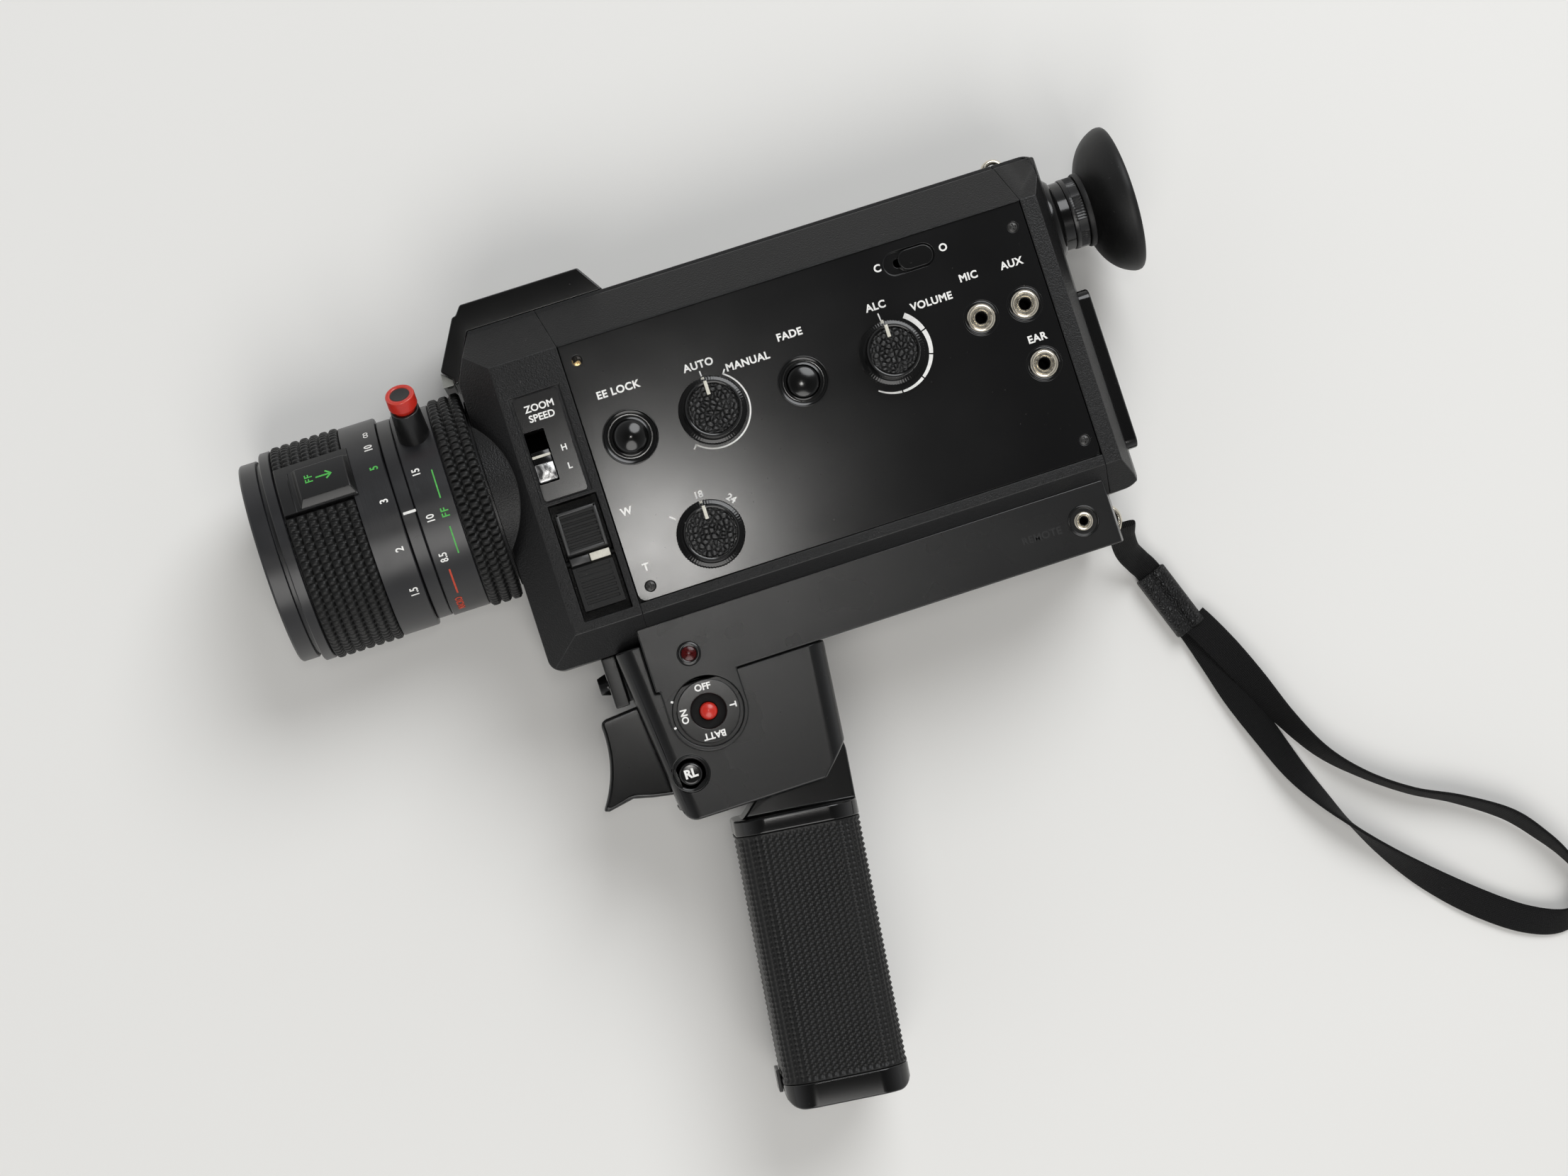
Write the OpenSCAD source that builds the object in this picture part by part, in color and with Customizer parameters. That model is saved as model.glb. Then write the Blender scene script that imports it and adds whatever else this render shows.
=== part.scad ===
// Sound cine camera lying on its right side: +X to the eyepiece, +Y to the camera's top, +Z out of its left side.
// Lengths in millimetres. Drawn from the lens axis and the body's front face, then moved so that the
// origin is under the middle of the camera, on the surface that it lies on.

/* [Body] */
// Front face to rear face
body_l = 175.6; // [175:0.2:177]
// Thickness of the body, right side to left side
body_t = 62; // [62:0.5:64]
// Height of the body's top above the lens axis
body_top = 45.2; // [45:0.1:46]
// Depth of the body's bottom below the lens axis
body_drop = 55.4; // [55:0.1:56]
// Height of the lens axis above the right side
axis_z = 32; // [31.8:0.1:32.2]

/* [Lens] */
// Length of the lens in front of the body
lens_l = 67.5; // [67:0.1:68]
// Radius of the rubber on the focus ring
focus_r = 31.8; // [31.6:0.1:31.9]
// Radius of the front ring
front_ring_r = 29.7; // [29:0.1:30]
// Radius of the filter thread
filter_r = 27.5; // [27:0.1:27.5]
// Radius of the fixed barrel that the rings turn on
barrel_r = 26; // [25.8:0.1:26]
// Clearance of a ring on the barrel
ring_gap = 0.05; // [0.03:0.01:0.08]

/* [Viewfinder] */
// Height of the eyepiece above the lens axis
finder_y = 26.6; // [26:0.1:27]
// Radius of the rubber eyecup
eyecup_r = 21.8; // [21:0.1:22.5]
// Front face to the eyecup's rim
eyecup_x = 201.5; // [201:0.1:203]

/* [Grip] */
// Width of the grip, front to rear
grip_w = 36.2; // [36:0.1:37]
// Thickness of the grip, side to side
grip_t = 42; // [41:0.5:43]
// Lean of the grip towards the lens, degrees
grip_lean = 7; // [6.5:0.1:7.5]
// Length of the rubber sleeve
sleeve_l = 71.6; // [71:0.1:73]

/* [Sockets] */
// Bore radius of the microphone, auxiliary and earphone sockets
jack_r = 1.75; // [1.75, 3.15]
// Bore radius of the remote socket
remote_r = 1.25; // [1.25]
// Radius of the tripod thread
tripod_r = 3.175; // [3.175, 4.76]

/* [Hidden] */
$fn = 64;

black = [0.09, 0.09, 0.095];
satin = [0.16, 0.16, 0.17];
rubber = [0.07, 0.07, 0.07];
silver = [0.8, 0.8, 0.78];
brass = [0.72, 0.58, 0.3];
red = [0.75, 0.1, 0.08];
clear = [0.75, 0.85, 0.88, 0.5];

// seams between the three mouldings of the body, and the plate let into its left face
front_seam = 29.5;
rear_seam = 167.5;
plate_bottom = -44.1;
plate_top = 31.9;
plate_under = body_t - 2.2;
plate_face = body_t - 0.6;
// sub-base under the body
rail_top = -body_drop - 0.05;
rail_bottom = -69.5;
rail_end = 168;
rail_face = 58;
rail_back = 6;
// housing of the trigger and dial
handle_face = 56.5;
handle_back = 7.5;
handle_bottom = -107.3;
dial_at = [38.8, -78.8];
run_lock_at = [28.6, -94.2];
trigger_pin_at = [24, -75];
// grip: its own axes start at the middle of the sleeve's top edge
grip_at = [53.3, -118.4];
cap_h = 4.8;
cover_h = 7.4;
neck_at = [9.5, 18.5];
neck_r = 8.6;
grip_dir = [cos(grip_lean), -sin(grip_lean)];
grip_up = [sin(grip_lean), cos(grip_lean)];
grip_pin_at = grip_at + neck_at[0] * grip_dir + neck_at[1] * grip_up;
// controls on the plate
exposure_lock_at = [41.6, 1.5];
exposure_at = [65.9, 1.5];
fade_at = [92.9, 1.5];
volume_at = [119.2, 1.5];
frame_rate_at = [54.7, -31.5];
shutter_slot_at = [132.2, 25.4];
jacks_at = [[146.7, 3.3], [159.8, 3.3], [159.8, -14.5]];
remote_at = [157.1, -60.5];
plate_screws_at = [[33.8, 26.5], [163.3, 25.2], [164, -38.7], [34, -40.3]];
lamp_at = [38.5, -61.7];
// film drive
gear_module = 1;
shutter_teeth = 26;
pinion_teeth = 10;
shutter_y = -16;
motor_y = shutter_y - (shutter_teeth + pinion_teeth) * gear_module / 2;
// film door on the right side
door_front = 40;
door_rear = 132;
door_top = 23;
door_hinge = [134.3, 2];
// wrist strap: x, y, z of the webbing's middle and its roll about its own length, degrees
strap_w = 9;
strap_t = 1.4;
strap_route = [[186.5, -99, 2.2, 0], [188.5, -105, 2.2, 0], [191, -114, 2, 5], [194, -125, 2, 8],
    [198.5, -138, 2.4, 18], [203.5, -152, 3.4, 35], [209.5, -164, 4.4, 60], [216, -175, 5, 90],
    [223.5, -185.5, 4.6, 115], [233, -196.5, 3.6, 140], [244.5, -207.5, 2.8, 160], [256.5, -216.5, 2.8, 160],
    [267, -220.5, 3.4, 145], [274.5, -217.5, 4.6, 120], [277, -210, 5, 95], [274, -202, 5, 85],
    [269, -194, 5, 75], [261, -184.5, 5, 70], [248, -175.5, 5, 75], [235, -168.5, 5, 80],
    [223, -159.5, 5, 80], [213, -149, 4.8, 70], [205.5, -136, 4.6, 55], [199.5, -122, 4.6, 35],
    [194.5, -111, 4.8, 15], [190.5, -103, 4.8, 5], [188, -98.5, 4.6, 0]];
tether_route = [[172.9, -65.2, 25, 0], [172.9, -68.5, 19, 0], [174.2, -73, 12, 0], [177, -77, 6.5, 0],
    [180, -82, 4, 0]];
keeper_from = [179.9, -81.5];
keeper_l = 21;
keeper_turn = 19.4;
// middle of the whole camera, which becomes the origin
grip_end = grip_at + grip_w / 2 * grip_dir - (sleeve_l + cover_h) * grip_up;
mid_x = (eyecup_x - lens_l) / 2;
mid_y = (53.3 + grip_end[1] + 0.6) / 2;

module in_place() {
    translate([-mid_x, -mid_y, 0]) children();
}

module block(lo, hi) {
    translate(lo) cube(hi - lo);
}

module rod_x(x0, x1, r, y = 0, z = axis_z) {
    translate([x0, y, z]) rotate([0, 90, 0]) cylinder(h = x1 - x0, r = r);
}

module ring_x(x0, x1, r_out, r_in, y = 0, z = axis_z) {
    difference() {
        rod_x(x0, x1, r_out, y, z);
        rod_x(x0 - 1, x1 + 1, r_in, y, z);
    }
}

module rod_z(at, z0, z1, r) {
    translate([at[0], at[1], z0]) cylinder(h = z1 - z0, r = r);
}

// profile of [x, r] points turned about a line along X
module turned_x(profile, y = 0, z = axis_z) {
    translate([0, y, z]) rotate([0, 90, 0]) rotate_extrude() polygon([for (p = profile) [p[1], p[0]]]);
}

module round_rect(w, h, r) {
    square([w - 2 * r, h], center = true);
    square([w, h - 2 * r], center = true);
    for (sx = [-1, 1], sy = [-1, 1]) translate([sx * (w / 2 - r), sy * (h / 2 - r)]) circle(r);
}

// rounds off the corner at a point; turn is the way that the corner points, in quarter turns
module corner_cut(at, r, turn) {
    translate(at) rotate(90 * turn) translate([-r, -r]) difference() {
        square(r + 1);
        circle(r);
    }
}

module extrude_x(x0, x1) {
    translate([x0, 0, 0]) rotate([90, 0, 90]) linear_extrude(x1 - x0) children();
}

module extrude_y(y0, y1) {
    translate([0, y1, 0]) rotate([90, 0, 0]) linear_extrude(y1 - y0) children();
}

module along_grip() {
    translate([grip_at[0], grip_at[1], 0]) rotate(-grip_lean) children();
}

// whole outside of the body: side outline, end profile and plan profile together
module body_block() {
    bulge_r = 86.4;
    intersection() {
        linear_extrude(body_t) difference() {
            polygon([[0, -body_drop], [184, -body_drop], [184, body_top], [7, body_top], [0, 31]]);
            corner_cut([0, -body_drop], 4, 2);
        }
        extrude_x(-1, 190) polygon([[-47.1, body_t], [32, body_t], [44, 50], [44, 49], [body_top, 48.4],
            [body_top, 6], [39.2, 0], [-49.4, 0], [-body_drop, 6], [-body_drop, 53]]);
        extrude_y(-60, 50) {
            polygon([[9.5, body_t], [rear_seam + 4.8, body_t], [body_l, 56], [body_l, 8],
                [170, 0], [4, 0], [0, 4], [0, 53]]);
            intersection() {
                translate([179 - bulge_r, axis_z]) circle(bulge_r, $fn = 180);
                translate([150, 8.2]) square([40, 47.6]);
            }
        }
        linear_extrude(body_t) difference() {
            translate([-1, -60]) square([181, 110]);
            corner_cut([179, body_top], 6, 0);
            corner_cut([179, -body_drop], 7, 3);
        }
    }
}

// part of the body between two seams, which lean on the top chamfer
module body_part(seam_0, seam_1) {
    intersection() {
        body_block();
        translate([0, 0, -1]) linear_extrude(body_t + 2) polygon([[seam_0, -60], [seam_1, -60],
            [seam_1, 32], [seam_1 - 3, 47], [seam_0 - (seam_0 > 0 ? 3 : 0), 47], [seam_0, 32]]);
    }
}

module main_casing() {
    color(satin) in_place() difference() {
        body_part(front_seam, rear_seam);
        block([20, plate_bottom, plate_under], [175, plate_top, body_t + 1]);
        block([33, -41, 46], [164, 29, body_t]);
        block([46, -52, 3], [124, 19, 44]);
        block([20, -45, 8], [43.5, 17.5, 56]);
        block([40, -12, 24], [47, 12, 40]);
        block([127, -50, 6], [175, 17, 44]);
        rod_x(20, 175, 7.6, finder_y);
        // seat of the film door and of its two knuckles
        block([door_front - 0.3, -60, -1], [door_rear + 0.3, door_top + 0.3, 3.3]);
        // the door's rear edge swings through this bevel
        extrude_y(-60, door_top + 0.3) polygon([[door_rear, -1], [door_rear + 1.6, -1],
            [door_rear + 1.6, 0], [door_rear + 0.3, 1.4], [door_rear, 1.4]]);
        for (y = [-40, 4]) block([door_rear, y - 0.3, -1], [door_hinge[0] + 2.4, y + 10.3, 4.4]);
        for (y = [-44, 0]) translate([door_hinge[0], y + 18, door_hinge[1]]) rotate([90, 0, 0])
            cylinder(h = 18, r = 0.8);
    }
}

module front_housing() {
    color(satin) in_place() difference() {
        union() {
            body_part(-5, front_seam);
            rod_x(-0.6, 14, 27.8);
        }
        rod_x(-2, 12, barrel_r + 0.1);
        block([3, -52, 8], [40, 33, 50]);
        block([8, 32, 8], [40, 42, 50]);
        // switch panel, its slot, and the well of the zoom rocker
        block([12, -9.3, body_t - 0.5], [26.8, 21.7, body_t + 1]);
        block([13.1, -4, 49], [19.1, 11.4, body_t + 1]);
        block([13.3, -44.3, 54.5], [27.5, -10.3, body_t + 1]);
        rod_x(12.5, 28.3, 1.05, -27.3, 57.5);
    }
}

module control_plate() {
    color(satin) in_place() difference() {
        linear_extrude(plate_face) difference() {
            translate([front_seam + 0.2, plate_bottom + 0.1])
                square([rear_seam - front_seam - 0.4, plate_top - plate_bottom - 0.2]);
            corner_cut([front_seam + 0.2, plate_bottom + 0.1], 2.5, 2);
            corner_cut([rear_seam - 0.2, plate_bottom + 0.1], 2.5, 3);
        }
        block([0, -60, -1], [200, 60, plate_under]);
        rod_z(exposure_lock_at, 50, 70, 5.1);
        rod_z(exposure_lock_at, plate_face - 0.6, 70, 7.5);
        rod_z(exposure_at, 50, 70, 3.05);
        rod_z(fade_at, 50, 70, 4.9);
        rod_z(fade_at, plate_face - 0.6, 70, 6.9);
        rod_z(volume_at, 50, 70, 3.05);
        rod_z(frame_rate_at, 50, 70, 3.05);
        for (at = jacks_at) {
            rod_z(at, 50, 70, 3.2);
            rod_z(at, plate_face - 0.5, 70, 5);
        }
        for (at = plate_screws_at) rod_z(at, 50, 70, 1.5);
        translate([shutter_slot_at[0], shutter_slot_at[1], plate_face - 1]) linear_extrude(5)
            round_rect(15, 6.6, 3.29);
        translate([shutter_slot_at[0], shutter_slot_at[1], 50]) linear_extrude(15) round_rect(9, 2.4, 1);
    }
}

module finder_hump() {
    color(black) in_place() difference() {
        translate([0, 0, 15]) linear_extrude(32) polygon([[-1.1, 31.9], [-1.1, 33.7], [-3.9, 36.6],
            [4, 50.6], [5, 50.6], [7.1, 53.3], [42.4, 53.3], [47.6, body_top], [7, body_top], [0.4, 31.9]]);
        block([9, 40, 17.5], [40, 51.3, 44.5]);
    }
}

module clear_windows() {
    color(clear) in_place() {
        translate([0, 0, 17]) linear_extrude(28)
            polygon([[-4.5, 32], [-4.1, 36.4], [-1.2, 33.5], [-1.2, 32]]);
        extrude_x(179, 180) translate([-8, axis_z]) round_rect(7, 13, 2);
    }
}

module rear_cover() {
    color(satin) in_place() difference() {
        body_part(rear_seam, 200);
        block([160, -50, 6], [173, 17, 54]);
        rod_x(160, 190, 7.6, finder_y);
        rod_x(body_l - 0.2, 190, 12.6, finder_y);
        extrude_x(body_l - 0.4, 190) translate([-20.95, axis_z]) round_rect(47.9, 40, 3);
    }
}

module counter_panel() {
    color(black) in_place() difference() {
        extrude_x(body_l - 0.4, 180.2) translate([-20.95, axis_z]) round_rect(47.9, 40, 3);
        extrude_x(179, 185) translate([-8, axis_z]) round_rect(7, 13, 2);
        extrude_x(177.5, 185) translate([-8, axis_z]) round_rect(5, 11, 1);
    }
}

// outline of the raised panel around the dial, below the rail
module dial_panel() {
    translate([27.3, dial_at[1]]) square([22.9, rail_bottom - dial_at[1] + 1]);
    translate(dial_at) circle(11.45);
}

module base_rail() {
    color(satin) in_place() difference() {
        union() {
            difference() {
                intersection() {
                    extrude_x(26.2, rail_end) polygon([[rail_bottom, rail_back], [rail_bottom, rail_face],
                        [-50.85, rail_face], [rail_top, 53.05], [rail_top, rail_back]]);
                    extrude_y(-80, -40) polygon([[20, 0], [20, 60], [165.4, 60], [rail_end, 48],
                        [rail_end, 0]]);
                }
                difference() {
                    block([30, -67, 10], [163, -50, 54]);
                    translate([100, rail_bottom, axis_z]) rotate([-90, 0, 0]) cylinder(h = 13, r = 8);
                }
            }
            block([14.3, -70.5, 24], [18.5, rail_top, 40]);
            block([18, rail_bottom, 28], [27, rail_top, 36]);
            translate([0, 0, handle_face]) linear_extrude(rail_face - handle_face) dial_panel();
        }
        rod_z(dial_at, 50, 60, 10);
        rod_z(lamp_at, 50, 60, 3);
        rod_z(remote_at, 50, 60, 2.2);
        rod_z(remote_at, rail_face - 0.5, 60, 4.1);
        translate([100, rail_bottom - 1, axis_z]) rotate([-90, 0, 0]) cylinder(h = 10.5, r = 5);
        rod_x(12, 20, 1.05, -63.1);
    }
}

// both halves of the handle housing as one block, with its hollows
module handle_block() {
    column_lean = atan2(4.6, 51.8);
    rear_lean = atan2(3.1, 29.1);
    difference() {
        intersection() {
            linear_extrude(60) difference() {
                polygon([[18.6, rail_top], [26.1, rail_top], [26.1, rail_bottom - 0.1],
                    [76.4, rail_bottom - 0.1], [73.3, -98.7], [64.8, handle_bottom],
                    [23.2, handle_bottom]]);
                corner_cut([23.2, handle_bottom], 4, 2);
            }
            translate([18.6, rail_top, 0]) rotate(column_lean) translate([0, 10, axis_z])
                rotate([90, 0, 0]) linear_extrude(80) translate([45, 0]) round_rect(90, 49, 5);
            translate([76.4, rail_bottom, 0]) rotate(-rear_lean) translate([0, 30, axis_z])
                rotate([90, 0, 0]) linear_extrude(80) translate([-45, 0]) round_rect(90, 49, 5);
        }
        block([17, -60, 27.9], [30, -50, 36.1]);
        block([17, rail_bottom - 0.1, 27.9], [27, rail_top + 1, 36.1]);
        block([15, -99.8, 24.6], [35, -70.6, 39.4]);
        block([40, -89, 12], [72, -71.5, 54]);
        block([44, -110, 20.5], [85, -91.5, 43.5]);
        rod_z(trigger_pin_at, 17, 47, 1.5);
        rod_z(grip_pin_at, 13, 51, 2);
        rod_z(dial_at, 50, 60, 3.7);
        rod_z(run_lock_at, 50, 60, 3.5);
        rod_z(run_lock_at, handle_face - 0.8, 60, 5);
    }
}

module handle_housing() {
    color(satin) in_place() intersection() {
        handle_block();
        block([0, -120, axis_z], [100, -40, 60]);
    }
}

module handle_cover() {
    color(satin) in_place() intersection() {
        handle_block();
        block([0, -120, 0], [100, -40, axis_z]);
    }
}

// round-headed screw whose head stops at the height z
module screw(at, z) {
    difference() {
        union() {
            rod_z(at, z - 0.9, z, 1.45);
            rod_z(at, z - 1.4, z - 0.5, 0.9);
        }
        translate([at[0], at[1], z]) cube([2, 0.4, 0.8], center = true);
        translate([at[0], at[1], z]) cube([0.4, 2, 0.8], center = true);
    }
}

module case_screws() {
    color(brass) in_place() for (at = plate_screws_at) screw(at, plate_face - 0.1);
}

module jack(at, z, r_flange, r_hole) {
    difference() {
        union() {
            rod_z(at, z - 10, z + 0.1, r_flange * 0.78);
            rod_z(at, z - 0.4, z + 0.5, r_flange);
        }
        rod_z(at, z - 9, z + 1, r_hole);
    }
}

module jack_sockets() {
    color(silver) in_place() {
        for (at = jacks_at) jack(at, plate_face, 4, jack_r);
        jack(remote_at, rail_face, 2.7, remote_r);
    }
}

module status_lamp() {
    color(red) in_place() intersection() {
        rod_z(lamp_at, rail_face - 3.5, rail_face + 1, 2.95);
        translate([lamp_at[0], lamp_at[1], rail_face - 5.6]) sphere(6);
    }
}

module lens_barrel() {
    color(black) in_place() difference() {
        union() {
            rod_x(-50, 9, barrel_r);
            rod_x(-26.4, -22.2, 29.7);
            rod_x(8, 28, 14);
        }
        rod_x(-51, 6, 23.5);
        rod_x(5, 29, 12);
    }
}

// biconvex lens element between x0 and x1, whose faces fall back by sag at the rim
module lens_element(x0, x1, r, sag, y = 0) {
    steps = 8;
    turned_x(concat(
        [for (i = [0 : steps]) [x0 + sag * pow(i / steps, 2), r * i / steps]],
        [for (i = [0 : steps]) [x1 - sag * pow(1 - i / steps, 2), r * (1 - i / steps)]]), y);
}

module rear_lens_group() {
    color(clear) in_place() {
        lens_element(11, 15.5, 12, 2);
        lens_element(18, 22, 12, 1.7);
    }
}

module film_gate() {
    color(silver) in_place() difference() {
        block([43.5, -12, 24], [46, 12, 40]);
        block([43, -2.1, axis_z - 2.9], [47, 2.1, axis_z + 2.9]);
        for (y = [-9.5, 9.5]) rod_x(43, 47, 1, y);
    }
}

module motors() {
    color(silver) in_place() {
        difference() {
            union() {
                rod_x(3, 29, 7.5, motor_y);
                rod_x(29, 30, 3, motor_y);
            }
            rod_x(20, 31, 1.06, motor_y);
        }
        rod_x(9, 28.5, 7.4, 27);
    }
}

module circuit_board() {
    color("darkgreen") in_place() {
        block([130, -46, 12], [164, 14, 13.6]);
        for (y = [-36, -22, -8]) rod_z([138, y], 13.6, 24, 4);
        block([146, -40, 13.6], [160, -20, 17]);
        block([146, -14, 13.6], [160, 4, 20]);
    }
}

module finder_tube() {
    color(black) in_place() ring_x(31, 175, 7.5, 6.5, finder_y);
}

module eyepiece_collar() {
    color(black) in_place() turned_x([[175.5, 6.6], [175.5, 12.5], [178, 12.5], [179.6, 12.1], [180.8, 11.2],
        [181.3, 10.1], [184, 10.1], [184, 8], [191, 8], [191, 6.6]], finder_y);
}

module eyepiece_lens() {
    color(clear) in_place() lens_element(185.5, 190, 6.6, 1.6, finder_y);
}

module tripod_bush() {
    color(brass) in_place() translate([100, rail_bottom, axis_z]) rotate([-90, 0, 0]) difference() {
        cylinder(h = 9.4, r = 5);
        translate([0, 0, -1]) cylinder(h = 9, r = tripod_r);
    }
}

// half ring of wire standing on a flat face
module wire_loop(major, minor) {
    intersection() {
        rotate_extrude() translate([major, 0]) circle(minor, $fn = 24);
        translate([-10, 0, -10]) cube([20, 10, 20]);
    }
}

module strap_lugs() {
    color(silver) in_place() {
        translate([167.6, body_top, axis_z]) wire_loop(2.9, 0.8);
        translate([rail_end, -62.5, 26]) rotate([0, 0, -90]) wire_loop(4.4, 0.9);
    }
}

// smooth curve's point between b and c
function spline(a, b, c, d, t) = 0.5 * (2 * b + (c - a) * t + (2 * a - 5 * b + 4 * c - d) * t * t
    + (3 * b - a - 3 * c + d) * t * t * t);
function smooth(p, steps) = concat([for (i = [0 : len(p) - 2], s = [0 : steps - 1])
    spline(p[max(i - 1, 0)], p[i], p[i + 1], p[min(i + 2, len(p) - 1)], s / steps)], [p[len(p) - 1]]);
function xyz(p) = [p[0], p[1], p[2]];
function unit(v) = v / norm(v);

// flat webbing swept along a route of [x, y, z, roll] points, eight-sided and a little crowned
module webbing(route, steps, w, t) {
    p = smooth(route, steps);
    n = len(p);
    edge = w / 2 - t / 2;
    crown = t / 2 + 0.15;
    section = [[-w / 2, 0], [-edge, -t / 2], [0, -crown], [edge, -t / 2],
        [w / 2, 0], [edge, t / 2], [0, crown], [-edge, t / 2]];
    rings = [for (i = [0 : n - 1])
        let (along = unit(xyz(p[min(i + 1, n - 1)]) - xyz(p[max(i - 1, 0)])),
             side = unit(cross(along, [0, 0, 1])),
             up = cross(side, along),
             wide = cos(p[i][3]) * side + sin(p[i][3]) * up,
             thin = cross(wide, along))
        for (s = section) xyz(p[i]) + s[0] * wide + s[1] * thin];
    polyhedron(rings, concat([[for (k = [0 : 7]) 7 - k]], [[for (k = [0 : 7]) 8 * (n - 1) + k]],
        [for (i = [0 : n - 2], k = [0 : 7]) let (m = (k + 1) % 8)
            each [[8 * i + k, 8 * i + m, 8 * i + 8 + m], [8 * i + k, 8 * i + 8 + m, 8 * i + 8 + k]]]));
}

module wrist_strap() {
    color(rubber) in_place() {
        webbing(strap_route, 2, strap_w, strap_t);
        webbing(tether_route, 2, strap_w - 1, 2.4);
    }
}

module strap_keeper() {
    color(rubber) in_place() translate([keeper_from[0], keeper_from[1], 3.4]) rotate(keeper_turn)
        rotate([90, 0, 0]) linear_extrude(keeper_l) union() {
            for (x = [-2.3, 2.3]) translate([x, 0]) round_rect(5, 6.4, 2);
        }
}

module hinge_pins() {
    color(silver) in_place() {
        rod_z(trigger_pin_at, 18, 46, 1.5);
        rod_z(grip_pin_at, 14, 50, 2);
        for (y = [-44, 0]) translate([door_hinge[0], y + 18, door_hinge[1]]) rotate([90, 0, 0])
            cylinder(h = 18, r = 0.8);
    }
}

module front_ring() {
    color(black) in_place() difference() {
        union() {
            rod_x(-lens_l, -62.1, front_ring_r);
            rod_x(-62.2, -55.2, 28.6);
        }
        rod_x(-lens_l - 1, -62.5, filter_r);
        rod_x(-63, -54, 26.6);
    }
}

module focus_ring() {
    color(satin) in_place() difference() {
        union() {
            rod_x(-61, -57.7, 31.3);
            rod_x(-58, -37, 29.5);
            rod_x(-37.3, -26.6, 31.3);
        }
        rod_x(-62, -55, 28.6);
        rod_x(-56, -26, barrel_r + ring_gap);
    }
}

// slice of the lens rings between two angles, from the left side towards the top
module slice(x0, x1, from, to) {
    translate([x0, 0, axis_z]) rotate([90, 0, 90]) linear_extrude(x1 - x0)
        polygon([[0, 0], 50 * [sin(from), cos(from)], 54 * [sin((from + to) / 2), cos((from + to) / 2)],
            50 * [sin(to), cos(to)]]);
}

module focus_rubber() {
    color(rubber) in_place() difference() {
        ring_x(-57.6, -37.4, focus_r, 29.5);
        slice(-60, -30, 16, 49);
    }
}

module front_lens() {
    color(clear) in_place() lens_element(-62, -55.5, 26.6, 3);
}

module ff_key() {
    color(black) in_place() {
        intersection() {
            union() {
                ring_x(-57.4, -40.2, 33.6, 29.6);
                ring_x(-41, -35.6, 33.6, 31.45);
            }
            slice(-60, -30, 17, 41);
        }
        intersection() {
            ring_x(-57.4, -40.2, 32.2, 29.6);
            slice(-60, -30, 40, 48);
        }
    }
}

module zoom_ring() {
    color(satin) in_place() difference() {
        union() {
            rod_x(-22, -10.9, 30.2);
            rod_x(-11, -1.1, 29.2);
        }
        rod_x(-23, 0, barrel_r + ring_gap);
        zoom_lever_place() translate([0, 0, 25]) cylinder(h = 10, r = 4.6);
    }
}

module zoom_rubber() {
    color(rubber) in_place() union() {
        for (x = [-10.8, -7.5, -4.2]) ring_x(x, x + 3, 31.1, 29.2);
        ring_x(-10.7, -1.3, 30.1, 29.2);
    }
}

// puts a shape drawn along +Z from the lens axis onto the lever's place on the ring
module zoom_lever_place() {
    translate([-16.4, 0, axis_z]) rotate([-45, 0, 0]) children();
}

module zoom_lever() {
    color(black) in_place() zoom_lever_place() difference() {
        union() {
            translate([0, 0, 26.2]) cylinder(h = 4.1, r = 4.6);
            translate([0, 0, 30.3]) cylinder(h = 9.9, r1 = 4.6, r2 = 4.1);
        }
        translate([0, 0, 37]) cylinder(h = 5, r = 3.1);
    }
}

module macro_button() {
    color(red) in_place() zoom_lever_place() {
        translate([0, 0, 38.6]) cylinder(h = 3, r = 3);
        translate([0, 0, 41.5]) difference() {
            cylinder(h = 4.3, r = 4.2);
            translate([0, 0, 3.7]) cylinder(h = 1, r = 2.9);
        }
    }
}

module variator_cell() {
    color(black) in_place() difference() {
        rod_x(-23, -15, 23.45);
        rod_x(-24, -14, 21.8);
    }
}

module zoom_rocker() {
    color(black) in_place() {
        difference() {
            extrude_x(14.4, 26.4) polygon([[-41.7, 57.2], [-41.7, 60.8], [-29.2, 60.4], [-28.6, 59.6],
                [-26, 59.6], [-25.4, 61.2], [-13, 61.8], [-13, 57.2], [-25, 56.5], [-29.6, 56.5]]);
            for (y = [-40 : 1.6 : -30]) block([15.6, y, 60.3], [25.2, y + 0.8, 62]);
            for (y = [-23.6 : 1.6 : -14]) block([15.6, y, 61], [25.2, y + 0.8, 63]);
        }
        rod_x(12.8, 28, 1, -27.3, 57.5);
    }
}

module zoom_speed_slider() {
    color(silver) in_place() {
        block([13.3, -3.7, 58], [18.9, 5.6, 61]);
        block([13.3, -3.5, 60.9], [18.9, 2, 62.4]);
        block([14.5, -1, 51], [17.5, 2, 58.1]);
    }
}

module push_button(at, r, r_stem, z_top) {
    rod_z(at, z_top - 4.5, z_top, r);
    rod_z(at, z_top - 9, z_top - 4.4, r_stem);
}

module exposure_lock_button() {
    color(black) in_place() push_button(exposure_lock_at, 4.9, 2, 64);
}

module fade_button() {
    color(black) in_place() push_button(fade_at, 4.7, 2, 62);
}

// round knob: a low skirt, a taller cap, and a shaft through the plate
module knob(at, r_skirt, r_cap) {
    difference() {
        union() {
            rod_z(at, plate_face + 0.2, plate_face + 2, r_skirt);
            rod_z(at, plate_face + 1.9, plate_face + 8, r_cap + 0.5);
            rod_z(at, 52, plate_face + 1, 3);
        }
        rod_z(at, plate_face + 7.6, plate_face + 9, r_cap - 0.3);
    }
}

module exposure_knob() {
    color(black) in_place() knob(exposure_at, 9.8, 7.8);
}

module volume_knob() {
    color(black) in_place() knob(volume_at, 9.5, 7.4);
}

module frame_rate_knob() {
    color(black) in_place() knob(frame_rate_at, 9.8, 7.7);
}

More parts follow.
